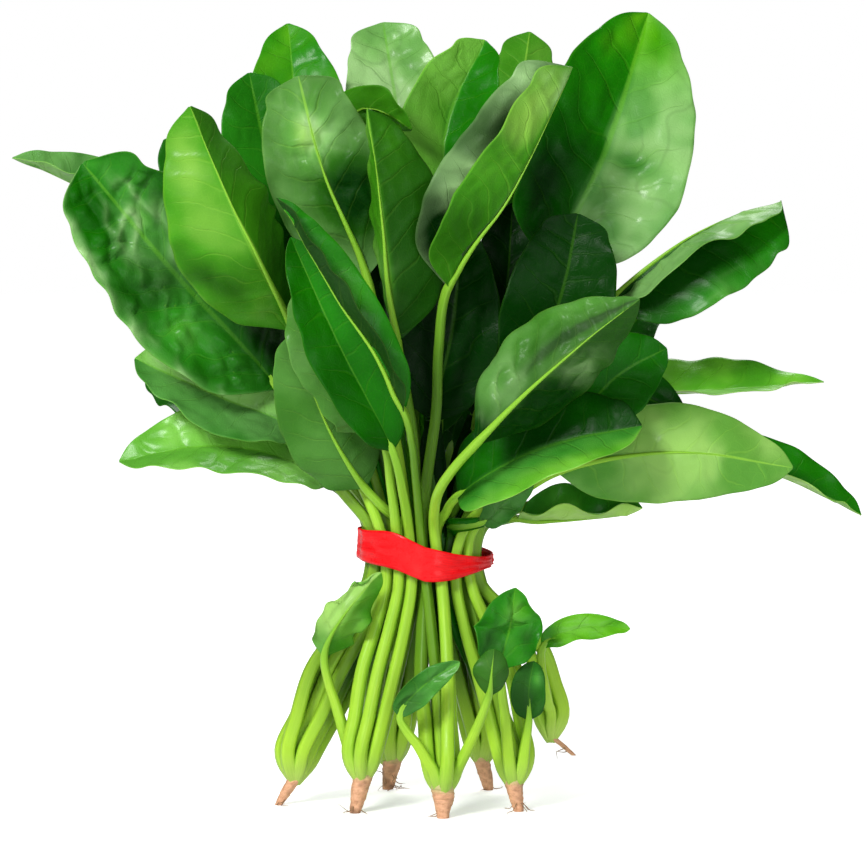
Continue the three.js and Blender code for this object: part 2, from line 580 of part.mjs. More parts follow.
// Looks.
const paint = (color, roughness) => new THREE.MeshStandardMaterial({ color, roughness, metalness: 0 });
const bunch = new THREE.Group();
bunch.name = "spinach_bunch";
function add(name, geometry, material) {
  const mesh = new THREE.Mesh(geometry, material);
  mesh.name = name;
  bunch.add(mesh);
}
for (const way of ways) {
  const green = isLow(way.leaf) ? paint(0x5fa52c, 0.45) : paint(0x2f7a1c, 0.4);
  add(way.leaf.name, leafSolid(way), green);
}
PLANTS.forEach((plant, i) => add(`plant_${i + 1}_crown`, plantSolid(plant), paint(0xd9a878, 0.6)));
add("band", bandSolid(), paint(0xd8202c, 0.35));

export default bunch;
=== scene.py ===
"""A bunch of fresh spinach: fine leaves, stalks, roots and the red band round the neck.

Every leaf takes its place, bend and outline from its plain solid in the frame. The script reads the
solid's rings, runs smooth surfaces through them, and adds veins, blisters and a rippled edge.
"""
import json
import math
from collections import namedtuple

import bpy
import numpy as np
from bpy.props import FloatProperty, FloatVectorProperty, IntProperty, PointerProperty
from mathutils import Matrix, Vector

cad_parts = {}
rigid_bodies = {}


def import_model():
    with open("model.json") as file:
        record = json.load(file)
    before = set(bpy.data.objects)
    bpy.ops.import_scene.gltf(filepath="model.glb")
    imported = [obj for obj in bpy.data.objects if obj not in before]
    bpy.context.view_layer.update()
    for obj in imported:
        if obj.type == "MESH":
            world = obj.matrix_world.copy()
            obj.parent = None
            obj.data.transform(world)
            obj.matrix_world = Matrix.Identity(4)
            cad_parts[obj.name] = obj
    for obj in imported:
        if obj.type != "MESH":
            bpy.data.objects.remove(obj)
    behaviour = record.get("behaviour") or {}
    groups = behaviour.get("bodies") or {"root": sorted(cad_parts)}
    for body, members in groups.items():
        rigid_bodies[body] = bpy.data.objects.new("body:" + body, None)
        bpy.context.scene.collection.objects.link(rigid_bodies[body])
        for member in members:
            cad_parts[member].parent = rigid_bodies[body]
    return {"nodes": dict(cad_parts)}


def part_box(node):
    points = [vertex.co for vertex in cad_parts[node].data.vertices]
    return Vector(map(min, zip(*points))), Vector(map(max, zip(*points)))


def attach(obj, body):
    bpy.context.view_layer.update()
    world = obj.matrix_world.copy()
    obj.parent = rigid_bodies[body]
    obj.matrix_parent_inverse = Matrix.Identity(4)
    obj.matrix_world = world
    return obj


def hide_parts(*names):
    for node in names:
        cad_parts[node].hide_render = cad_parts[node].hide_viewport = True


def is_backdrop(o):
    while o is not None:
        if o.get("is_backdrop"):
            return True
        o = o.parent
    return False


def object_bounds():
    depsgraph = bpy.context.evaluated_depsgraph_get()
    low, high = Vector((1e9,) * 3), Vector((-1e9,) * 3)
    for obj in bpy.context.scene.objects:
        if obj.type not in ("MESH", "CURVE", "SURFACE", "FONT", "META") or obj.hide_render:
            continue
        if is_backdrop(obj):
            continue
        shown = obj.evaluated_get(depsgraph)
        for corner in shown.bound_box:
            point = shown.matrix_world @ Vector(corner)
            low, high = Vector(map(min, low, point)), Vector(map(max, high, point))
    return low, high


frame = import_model()
CAD_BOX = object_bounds()

bl_info = {
    "name": "Spinach bunch",
    "version": (1, 0, 0),
    "blender": (4, 5, 0),
    "location": "3D View > Sidebar > Bunch",
    "description": "Builds a bunch of spinach with veined leaves, grooved stalks, roots and a band",
    "category": "Object",
}

MM = 0.001

# Where the blade's rings lie in the plain solids, as shares of the blade's length, and how many points
# each ring of a blade and of a stalk has.
BLADE_STATIONS = np.array([0, 0.08, 0.24, 0.44, 0.66, 0.86, 0.97, 1])
BLADE_RING = 10
STALK_RING = 6

# How single leaves differ from the rest. face is the way the upper side looks. Each pair is for the
# left and right half, seen from the upper side: tones run from dark to bright green, partly the leaf's
# own colour and partly painted shade and light, dark where a half lies in shadow and bright where it
# faces the light, and silver is a pale painted sheen that stands in for the waxy shine. blister and
# wave are heights in millimetres, spacing lies between two side veins, and ragged is how far the edge
# is eaten in. stalk is the stalk's tone, low for painted shade on stalks deep in the bunch, and wing
# the width of the strip of blade that runs down beside it. trim makes a half narrower.
USUAL = {
    "face": (0, -1, 0.6), "tones": (0.2, 0.2), "silver": (0.02, 0.02), "stalk": 0.8, "wing": 0,
    "trim": (0, 0), "blister": 0.6, "wave": 0.9, "ragged": 0.03, "spacing": 12.0,
}
# Leaves behind the others have shaded stalks with a strip of blade beside them.
BACK_STYLE = {"stalk": 0.2, "wing": 6}
STYLES = {
    "leaf_far_left": {"face": (0.2, -0.5, 0.8), "tones": (0.5, 0.5), "silver": (0.3, 0.3), "stalk": 0.4},
    "leaf_left_blistered": {"face": (0, -1, 0.1), "tones": (0.3, 0.32), "stalk": 0.45, "blister": 2.6},
    "leaf_left_smooth": {"face": (0, 1, 0), "tones": (0.36, 0.5), "silver": (0, 0), "blister": 0.15},
    "leaf_left_behind": {"face": (0, -1, 0.3), "tones": (0.3, 0.35), "stalk": 0.35},
    "leaf_top_left": {"face": (0, -1, 0), "tones": (0.68, 0.56), "stalk": 0.5, "blister": 0.4},
    "leaf_top_left_dark": {
        "face": (0.2, -1, 0), "tones": (0.4, 0.33), "stalk": 0.4, "wing": 4, "blister": 0.4,
    },
    "leaf_olive": {"face": (0, 1, 0.1), "tones": (0.25, 0.3), "silver": (0.22, 0.26), "blister": 1.1},
    "leaf_centre_ridge": {
        "face": (0, 1, 0), "tones": (0.09, 0.52), "silver": (0, 0), "stalk": 0.3, "blister": 0.4,
    },
    "leaf_narrow_fold": {"face": (0.7, -0.5, 0.5), "tones": (0.02, 0.46), "stalk": 0.3, "blister": 0.3},
    "leaf_dark_strip": {
        "face": (0.1, -1, 0), "tones": (0.24, 0.3), "silver": (0, 0), "stalk": 0.85, "blister": 0.4,
    },
    "leaf_ragged": {
        "face": (0, 1, 0), "tones": (0.22, 0.33), "silver": (0.05, 0.2), "stalk": 0.85, "blister": 0.5,
        "ragged": 0.14,
    },
    "leaf_grey_oval": {
        "face": (0, 1, 0), "tones": (0.22, 0.3), "silver": (0.12, 0.12), "stalk": 0.75, "blister": 0.3,
    },
    "leaf_left_cupped": {
        "face": (0, -0.9, 0.5), "tones": (0.45, 0.85), "silver": (0.2, 0.4), "stalk": 0.5,
        "blister": 0.8,
    },
    "leaf_left_low": {"face": (0, -0.75, 0.65), "tones": (0.85, 0.9), "silver": (0.3, 0.3), "stalk": 0.7},
    "leaf_top_pale": {
        "face": (0, -1, 0.3), "tones": (0.75, 0.75), "silver": (0.85, 0.8), "stalk": 0.25, "wing": 4,
        "blister": 1,
    },
    "leaf_small_curl": {
        "face": (0.3, 0.6, 0.6), "tones": (0.34, 0.34), "silver": (0, 0), "stalk": 0.2, "wing": 4,
        "blister": 0.4,
    },
    "leaf_top_fold": {
        "face": (0.3, -1, 0), "tones": (0.85, 0.42), "silver": (0.2, 0), "stalk": 0.25, "blister": 0.5,
    },
    "leaf_top_small": {"face": (0, 1, 0), "tones": (0.5, 0.5), "stalk": 0.2, "blister": 0.3},
    "leaf_silver_twist": {
        "face": (0, -1, 0), "tones": (0.1, 0.52), "silver": (0.36, 0), "stalk": 0.28, "blister": 0.7,
        "wave": 0.4, "spacing": 11,
    },
    "leaf_top_right": {
        "face": (0.1, -1, 0), "tones": (0.3, 0.65), "silver": (0, 0.65), "stalk": 0.25, "blister": 1.3,
        "spacing": 16,
    },
    "leaf_dark_inner": {
        "face": (0, -1, 0.1), "tones": (0.03, 0.05), "silver": (0, 0), "stalk": 0.2, "wing": 4,
        "blister": 0.4,
    },
    "leaf_right_upper": {"face": (0, -1, 0.2), "tones": (0.45, 0.08), "silver": (0.42, 0), "stalk": 0.45},
    "leaf_front_ridge": {
        "face": (0, 1, 0), "tones": (0.1, 0.17), "silver": (0.02, 0.08), "stalk": 0.9, "blister": 1.3,
        "spacing": 10,
    },
    "leaf_right_round": {
        "face": (0, -1, 0), "tones": (0.24, 0.24), "silver": (0, 0), "stalk": 0.6, "blister": 0.3,
    },
    "leaf_right_dark": {"face": (0, -0.8, 0.6), "tones": (0.1, 0.12), "silver": (0, 0), "stalk": 0.3},
    "leaf_front_cup": {
        "face": (0, -0.8, 0.6), "tones": (0.02, 0.42), "silver": (0, 0.1), "stalk": 0.85,
        "blister": 0.3, "wave": 0.5,
    },
    "leaf_right_pale": {
        "face": (0, 1, -0.1), "tones": (0.65, 0.7), "silver": (0.25, 0.25), "stalk": 0.75,
        "blister": 0.25, "wave": 0.5,
    },
    "leaf_right_far": {
        "face": (0.2, -0.5, 0.8), "tones": (0.4, 0.85), "silver": (0, 0.4), "stalk": 0.35,
        "blister": 0.4,
    },
    "leaf_right_thin": {
        "face": (0, -0.4, 0.9), "tones": (0.8, 0.95), "silver": (0.1, 0.45), "stalk": 0.35,
        "blister": 0.4,
    },
    "leaf_right_low": {
        "face": (0, -0.4, 0.9), "tones": (0.6, 0.95), "silver": (0.1, 0.2), "stalk": 0.35, "wave": 1.8,
    },
    "leaf_neck_crumpled": {
        "face": (0.4, -1, 0), "tones": (0.25, 0.35), "silver": (0.1, 0.1), "stalk": 0, "wing": 6,
        "wave": 1.8,
    },
    "leaf_heart_left": {
        "face": (0, -1, 0), "tones": (0, 0.02), "silver": (0, 0), "stalk": 0.1, "wing": 8,
    },
    "leaf_heart_mid": {"face": (0, -1, 0), "tones": (0, 0.02), "silver": (0, 0), "stalk": 0.1, "wing": 8},
    "leaf_heart_right": {
        "face": (0, -1, 0), "tones": (0, 0.02), "silver": (0, 0), "stalk": 0.1, "wing": 8,
    },
    "small_leaf_left": {
        "face": (0, 1, 0), "tones": (0.55, 0.75), "silver": (0.02, 0.25), "trim": (0.05, 0.4),
        "blister": 0.7, "wave": 1.6, "ragged": 0.14,
    },
    "small_leaf_front": {
        "face": (0, -1, 0), "tones": (0.45, 0.6), "silver": (0.15, 0.2), "trim": (0.3, 0.3),
        "blister": 0.5, "ragged": 0.1,
    },
    "small_leaf_right": {
        "face": (0, -1, 0), "tones": (0.48, 0.52), "blister": 0.9, "wave": 1.5, "ragged": 0.12,
    },
    "small_leaf_pointing": {
        "face": (0, -1, 0.4), "tones": (0.75, 0.8), "trim": (0.2, 0.25), "blister": 0.5, "wave": 1.4,
    },
    "small_leaf_curled": {"face": (0, 1, 0), "tones": (0.16, 0.2), "blister": 0.5, "ragged": 0.12},
    "small_leaf_edge": {"face": (0, -1, 0), "tones": (0.15, 0.2), "blister": 0.5, "ragged": 0.1},
}


# Soft places on single leaves. u runs from the blade's base to its tip and v from its left edge at -1
# to its right edge at 1. tall and wide are the place's reach in u and v, tone and silver are added to
# the leaf's own as painted shadows and painted highlights, with some of the leaf's own patchy colour,
# and crumple is the height of its creases in millimetres.
Place = namedtuple("Place", "u v tall wide tone silver crumple")
PLACES = {
    "leaf_left_blistered": [
        Place(0.7, 0.15, 0.15, 0.4, 0.3, 0.9, 3.4), Place(0.86, -0.4, 0.12, 0.35, -0.15, -0.1, 0),
        Place(0.36, -0.45, 0.16, 0.35, 0.22, 0.05, 1.2), Place(0.6, -1.0, 0.45, 0.13, 0.3, 0.75, 0),
        Place(0.2, 0.6, 0.22, 0.5, -0.4, 0, 0.8), Place(0.52, -0.35, 0.08, 0.5, -0.2, 0, 1.5),
        Place(0.95, 0.3, 0.1, 0.7, 0.15, 0, 0),
    ],
    "leaf_left_smooth": [
        Place(0.5, 0.9, 0.1, 0.16, -0.2, 0, 0), Place(0.38, 0.72, 0.1, 0.17, -0.26, 0, 0.5),
        Place(0.27, 0.5, 0.09, 0.2, -0.24, 0, 0.5), Place(0.4, 0.3, 0.25, 0.3, 0.05, 0, 0),
        Place(0.8, 0.5, 0.2, 0.5, 0.1, 0, 0), Place(0.12, 0.3, 0.12, 0.6, 0.1, 0.05, 0),
    ],
    "leaf_olive": [
        Place(0.68, 0.1, 0.13, 0.4, 0.55, 0.6, 2.4), Place(0.36, -0.3, 0.2, 0.7, -0.3, -0.5, 2.6),
        Place(0.9, 0.2, 0.15, 0.8, 0.15, 0.2, 0),
    ],
    "leaf_centre_ridge": [
        Place(0.85, -0.4, 0.2, 0.5, 0.15, 0, 0.5), Place(0.2, 0.5, 0.15, 0.5, 0.1, 0.2, 1.2),
    ],
    "leaf_silver_twist": [
        Place(0.45, -0.5, 0.16, 0.3, 0, 0.45, 1.0), Place(0.72, -0.35, 0.12, 0.35, -0.3, -0.6, 0.6),
        Place(0.93, -0.3, 0.1, 0.9, 0.1, 0.5, 0), Place(0.3, 0.5, 0.2, 0.6, -0.3, 0, 0),
        Place(0.2, -0.5, 0.14, 0.5, -0.2, -0.5, 0.5), Place(0.8, 0.5, 0.2, 0.5, 0.15, 0, 0.3),
    ],
    "leaf_top_right": [
        Place(0.9, -0.5, 0.2, 0.6, 0.4, 0, 0), Place(0.92, 0.4, 0.16, 0.8, 0.1, -0.65, 0),
        Place(0.3, -0.6, 0.25, 0.5, -0.3, 0, 0.8), Place(0.48, 0.35, 0.05, 0.4, -0.2, -0.55, 1.0),
    ],
    "leaf_top_pale": [Place(0.6, 0, 0.2, 0.4, 0, 0.2, 1.2)],
    "leaf_right_upper": [
        Place(0.88, 0.5, 0.16, 0.6, 0.3, 0, 0), Place(0.45, 0.95, 0.3, 0.25, 0.4, 0.1, 0.6),
    ],
    "leaf_front_ridge": [
        Place(0.3, -0.5, 0.25, 0.5, -0.18, -0.1, 1.6), Place(0.22, 0.5, 0.14, 0.5, 0.12, 0.3, 3.0),
        Place(0.55, -0.45, 0.12, 0.4, 0.1, 0.35, 1.8), Place(0.02, 0.3, 0.08, 0.8, -0.3, -0.2, 0),
        Place(0.7, 0.3, 0.35, 0.1, -0.3, 0, 0), Place(0.6, 0.85, 0.4, 0.25, 0.15, 0.05, 0.4),
    ],
    "leaf_front_cup": [
        Place(0.55, 1.0, 0.7, 0.5, 0.45, 0.05, 0), Place(0.8, -0.5, 0.2, 0.5, 0.12, 0, 0),
        Place(0.2, -0.3, 0.15, 0.5, 0.2, 0, 0.8),
    ],
    "leaf_left_cupped": [
        Place(0.75, 0.5, 0.2, 0.5, 0.25, 0.3, 0.8), Place(0.3, -0.3, 0.2, 0.5, -0.15, 0, 0.5),
    ],
    "leaf_ragged": [Place(0.5, -0.4, 0.2, 0.5, -0.1, 0.1, 1.5)],
    "leaf_neck_crumpled": [Place(0.5, 0, 0.4, 0.8, 0, 0.1, 2.0)],
    "leaf_dark_strip": [Place(0.75, 0.3, 0.25, 0.6, 0.1, 0, 0.4)],
    "small_leaf_left": [Place(0.5, 0, 0.4, 0.8, 0, 0.05, 2.2)],
    "small_leaf_front": [Place(0.5, 0, 0.4, 0.8, 0, 0.1, 2.4), Place(0.25, 0.3, 0.2, 0.5, -0.3, 0, 0)],
    "small_leaf_right": [
        Place(0.5, 0, 0.4, 0.8, 0, 0.05, 3.4), Place(0.75, 0, 0.15, 0.5, 0.25, 0.1, 0),
        Place(0.3, -0.5, 0.15, 0.4, -0.3, 0, 0), Place(0.45, 0.6, 0.12, 0.3, -0.3, 0, 0),
    ],
    "small_leaf_pointing": [Place(0.5, 0, 0.4, 0.8, 0, 0.1, 2.0)],
    "small_leaf_curled": [Place(0.5, 0, 0.4, 0.8, 0, 0.1, 2.0)],
    "small_leaf_edge": [Place(0.5, 0, 0.4, 0.8, 0, 0.1, 2.2), Place(0.7, 0.4, 0.15, 0.3, 0.3, 0.1, 0)],
}

# Millimetres between a blade's rows, with the fewest and most of them from base to tip, and the same
# for its columns from midrib to edge. The rows lie closer towards the tip.
ROW_STEP, ROWS_ALLOWED = 1.15, (26, 96)
COLUMN_STEP, COLUMNS_ALLOWED = 2.3, (7, 20)
TIP_CLOSENESS = 1.25
# How far a whole blade sags and swells, against the height of its edge's waves.
SAG = 2.9
# The midrib ends a little before the leaf's tip.
MIDRIB_END = 0.94

# Below its first ring a stalk runs on into its crown. Each step says how far down it is in millimetres,
# and what share of the way from the crown's middle to the stalk's foot. The girths go with the steps.
FOOT_PLACES = ((11.5, 0.12), (8.5, 0.34), (5.0, 0.62), (2.2, 0.86))
FOOT_GIRTHS = np.array([0.5, 0.82, 1.12, 1.16])
STALK_SIDES = 18

# The strips of blade beside a stalk: where they start along it, and their grid.
WING_START, WING_ROWS, WING_COLUMNS = 0.3, 30, 7

# Taproots with more side roots than the others, and how much longer those are.
BUSHY_ROOTS = {"plant_7_crown": (12, 1.4), "plant_4_crown": (6, 1.1)}
ROOT_STEPS, ROOT_SIDES = 46, 28

# How far the band rises at each side against its middle, and the steps of its grid.
BAND_RISE = {"left": 6.3 * MM, "right": 0.9 * MM, "back": 1 * MM}
BAND_STEPS, BAND_ROWS = 260, 14

# The point that the camera looks at, in metres.
AIM = Vector((-0.1 * MM, -19.9 * MM, 163.6 * MM))
# Each lamp's place, size in metres and power in watts.
LAMPS = {
    "key": ((-0.85, -1.35, 1.15), 0.5, 30),
    "fill": ((0.5, -1.7, 0.3), 0.8, 7),
    "rim": ((0.2, 0.9, 1.3), 0.7, 12),
}
FLOOR_REACH = 6.0
# The white surround as the floor and leaves are lit by it, as it shows in their gloss, and as seen.
SKY_LIGHT, SKY_SHINE, SKY_SEEN = 0.24, 0.05, 1.0


def style_of(node):
    """A leaf's style with its soft places, the usual values filled in."""
    general = {**USUAL, **BACK_STYLE} if "leaf_back" in node else USUAL
    return {**general, **STYLES.get(node, {}), "places": PLACES.get(node, [])}


# Reading the plain solids


def rings_of(node):
    """The rings of points that a lofted solid is made of, from its lowest ring on."""
    mesh = frame["nodes"][node].data
    spots = np.empty(len(mesh.vertices) * 3)
    mesh.vertices.foreach_get("co", spots)
    spots = spots.reshape(-1, 3)
    keys, same = np.unique(np.round(spots / 2e-6).astype(np.int64), axis=0, return_inverse=True)
    same = same.reshape(-1)
    places = np.zeros((len(keys), 3))
    places[same] = spots
    beside = [set() for _ in keys]
    for edge in mesh.edges:
        a, b = same[edge.vertices[0]], same[edge.vertices[1]]
        if a != b:
            beside[a].add(b)
            beside[b].add(a)
    level = places[:, 2] < places[:, 2].min() + 2e-5
    if "crown" in node and level.sum() < 3:
        raise RuntimeError(f"{node} has no level end")
    rings = [set(np.flatnonzero(level))]
    seen = set(rings[0])
    while len(seen) < len(keys):
        onward = set().union(*(beside[k] for k in rings[-1])) - seen
        if not onward:
            raise RuntimeError(f"the rings of {node} don't join up")
        rings.append(onward)
        seen |= onward
    return places, beside, [sorted(ring) for ring in rings]


def in_order(ring, beside):
    """A ring's points, one after the other round it."""
    left = set(ring)
    walk = [ring[0]]
    left.discard(ring[0])
    while left:
        step = [k for k in beside[walk[-1]] if k in left]
        walk.append(step[0])
        left.discard(step[0])
    return walk


def across_blade(ring, places, beside, up):
    """The five middle points of a blade's ring from left to right, seen from its upper side."""
    walk = in_order(ring, beside)
    corner = places[walk]
    gaps = np.linalg.norm(np.roll(corner, -1, axis=0) - corner, axis=1)
    rim = int(np.argmin(gaps + np.roll(gaps, -BLADE_RING // 2)))
    one = [corner[(rim + 1 + k) % BLADE_RING] for k in range(5)]
    two = [corner[(rim - k) % BLADE_RING] for k in range(5)]
    one, two = np.array(one), np.array(two)
    if np.dot(one[2] - two[2], up) < 0:
        one, two = two, one
    middle = (one + two) / 2
    side = one[2] - two[2]
    rim_gap = np.linalg.norm(one[0] - two[0])
    middle[2] = one[2] - (one[2] - two[2]) / np.linalg.norm(one[2] - two[2]) * rim_gap / 2
    return middle, side


class LeafFrame:
    """A leaf's place: the stalk's centres and radii, and the blade's net of points."""

    def __init__(self, node):
        places, beside, rings = rings_of(node)
        upward = np.array(style_of(node)["face"], float)
        stalk = [ring for ring in rings if len(ring) == STALK_RING]
        blade = [ring for ring in rings if len(ring) == BLADE_RING]
        if len(blade) != len(BLADE_STATIONS) - 1:
            raise RuntimeError(f"{node} has {len(blade)} blade rings")
        self.centres = np.array([places[ring].mean(axis=0) for ring in stalk])
        self.radii = np.array([
            np.linalg.norm(places[ring] - places[ring].mean(axis=0), axis=1).mean() for ring in stalk
        ])
        tip = places[blade[-1]].mean(axis=0)
        rows = []
        for n, ring in enumerate(blade[:-1]):
            row, side = across_blade(ring, places, beside, upward)
            onward = places[blade[n + 1]].mean(axis=0) - row[2]
            if np.dot(np.cross(row[4] - row[0], onward), side) < 0:
                row = row[::-1]
            rows.append(row)
        start = self.centres[-1]
        reach = (rows[0][4] - rows[0][0]) / np.linalg.norm(rows[0][4] - rows[0][0]) * self.radii[-1] * 0.7
        first = np.array([start + reach * v for v in (-1, -0.5, 0, 0.5, 1)])
        last_way = (rows[-1][4] - rows[-1][0]) * 0.12
        last = np.array([tip + last_way * v for v in (-0.5, -0.25, 0, 0.25, 0.5)])
        self.net = np.array([first, *rows, last])


# Smooth surfaces through points


def run_through(knots, points, at):
    """A smooth curve through points given at knots, read at other places."""
    points = np.asarray(points, float)
    flat = points.reshape(len(points), -1)
    slope = np.gradient(flat, knots, axis=0)
    n = np.clip(np.searchsorted(knots, at, side="right") - 1, 0, len(knots) - 2)
    width = (knots[n + 1] - knots[n])[:, None]
    f = ((at - knots[n]) / (knots[n + 1] - knots[n]))[:, None]
    curve = (
        (2 * f**3 - 3 * f**2 + 1) * flat[n]
        + (f**3 - 2 * f**2 + f) * width * slope[n]
        + (-2 * f**3 + 3 * f**2) * flat[n + 1]
        + (f**3 - f**2) * width * slope[n + 1]
    )
    return curve.reshape((len(at),) + points.shape[1:])


def soft_noise(x, y, seed):
    """Smooth values from 0 to 1 that change over a distance of about 1."""
    table = np.random.default_rng(seed).random((64, 64))
    x0, y0 = np.floor(x).astype(int), np.floor(y).astype(int)
    fx, fy = x - x0, y - y0
    fx, fy = fx * fx * (3 - 2 * fx), fy * fy * (3 - 2 * fy)
    corner = lambda dx, dy: table[(x0 + dx) % 64, (y0 + dy) % 64]
    low = corner(0, 0) * (1 - fx) + corner(1, 0) * fx
    high = corner(0, 1) * (1 - fx) + corner(1, 1) * fx
    return low * (1 - fy) + high * fy


def unit(a):
    """Vectors of length one."""
    return a / np.maximum(np.linalg.norm(a, axis=-1, keepdims=True), 1e-12)


def reach_along(points):
    """How far along a line of points each of them lies."""
    return np.concatenate([[0], np.cumsum(np.linalg.norm(np.diff(points, axis=0), axis=1))])


class Patchwork:
    """Quads with two UV maps and a material each, gathered into one mesh."""

    def __init__(self):
        self.spots, self.faces, self.slots = [], [], []
        self.flat, self.veins, self.marks = [], [], []
        self.count = 0

    def add_spots(self, spots, tone=0.5, silver=0.0):
        start = self.count
        spots = np.asarray(spots).reshape(-1, 3)
        self.spots.append(spots)
        marks = [np.broadcast_to(np.asarray(m, float).reshape(-1), len(spots)) for m in (tone, silver)]
        self.marks.append(np.stack(marks, axis=1))
        self.count += len(spots)
        return start

    def add_quads(self, quads, slot, flat, veins):
        self.faces.append(np.asarray(quads).reshape(-1, 4))
        self.slots.append(np.full(len(self.faces[-1]), slot))
        self.flat.append(np.asarray(flat, float).reshape(-1, 2))
        self.veins.append(np.asarray(veins, float).reshape(-1, 2))

    def to_object(self, name, materials):
        mesh = bpy.data.meshes.new(name)
        spots = np.concatenate(self.spots)
        faces = np.concatenate(self.faces)
        mesh.vertices.add(len(spots))
        mesh.vertices.foreach_set("co", spots.ravel())
        mesh.loops.add(faces.size)
        mesh.loops.foreach_set("vertex_index", faces.ravel())
        mesh.polygons.add(len(faces))
        mesh.polygons.foreach_set("loop_start", np.arange(len(faces)) * 4)
        mesh.polygons.foreach_set("material_index", np.concatenate(self.slots))
        mesh.polygons.foreach_set("use_smooth", np.ones(len(faces), bool))
        for label, values in (("leaf", self.flat), ("veins", self.veins)):
            layer = mesh.uv_layers.new(name=label)
            layer.uv.foreach_set("vector", np.concatenate(values).ravel())
        marks = np.concatenate(self.marks)
        for k, label in enumerate(("tone", "silver")):
            mesh.attributes.new(label, "FLOAT", "POINT").data.foreach_set("value", marks[:, k].copy())
        for material in materials:
            mesh.materials.append(material)
        mesh.validate()
        mesh.update()
        piece = bpy.data.objects.new(name, mesh)
        bpy.context.scene.collection.objects.link(piece)
        return piece


def quads_between(start, rows, columns, wrap=False):
    """Corner numbers of the quads of a grid, and the rows and columns of those corners."""
    last = columns if wrap else columns - 1
    i, j = np.meshgrid(np.arange(rows - 1), np.arange(last), indexing="ij")
    i, j = i.ravel(), j.ravel()
    row = np.stack([i, i, i + 1, i + 1], axis=1)
    column = np.stack([j, j + 1, j + 1, j], axis=1)
    return start + row * columns + column % columns, row, column


def add_cap(patches, hub_place, first, sides, flip, slot, mark):
    """A fan of quads that closes the end of a tube whose last ring starts at the corner first."""
    hub = patches.add_spots(hub_place[None])
    j = np.arange(0, sides, 2)
    fan = np.stack([np.full(len(j), hub), first + (j + 2) % sides, first + j + 1, first + j], axis=1)
    zeros = np.zeros((len(j), 4, 2))
    patches.add_quads(fan[:, ::-1] if flip else fan, slot, zeros, zeros + mark)


def add_sheet(patches, upper, under, tone, silver, maps):
    """Two grids of points a little apart, joined round the rim."""
    rows, columns = upper.shape[:2]
    top = patches.add_spots(upper, tone, silver)
    low = patches.add_spots(under, tone, silver)
    quads, row, column = quads_between(top, rows, columns)
    patches.add_quads(quads, 0, *maps(row, column))
    quads, row, column = quads_between(low, rows, columns)
    flat, veins = maps(row, column)
    patches.add_quads(quads[:, ::-1], 1, flat[:, ::-1], veins[:, ::-1])
    rim = [(i, 0) for i in range(rows)] + [(rows - 1, j) for j in range(1, columns)]
    rim += [(i, columns - 1) for i in range(rows - 2, -1, -1)]
    rim += [(0, j) for j in range(columns - 2, 0, -1)]
    rim = np.array(rim)
    onward = np.roll(rim, -1, axis=0)
    here, there = (at[:, 0] * columns + at[:, 1] for at in (rim, onward))
    quads = np.stack([top + here, top + there, low + there, low + here], axis=1)
    row = np.stack([rim[:, 0], onward[:, 0], onward[:, 0], rim[:, 0]], axis=1)
    column = np.stack([rim[:, 1], onward[:, 1], onward[:, 1], rim[:, 1]], axis=1)
    patches.add_quads(quads, 1, *maps(row, column))


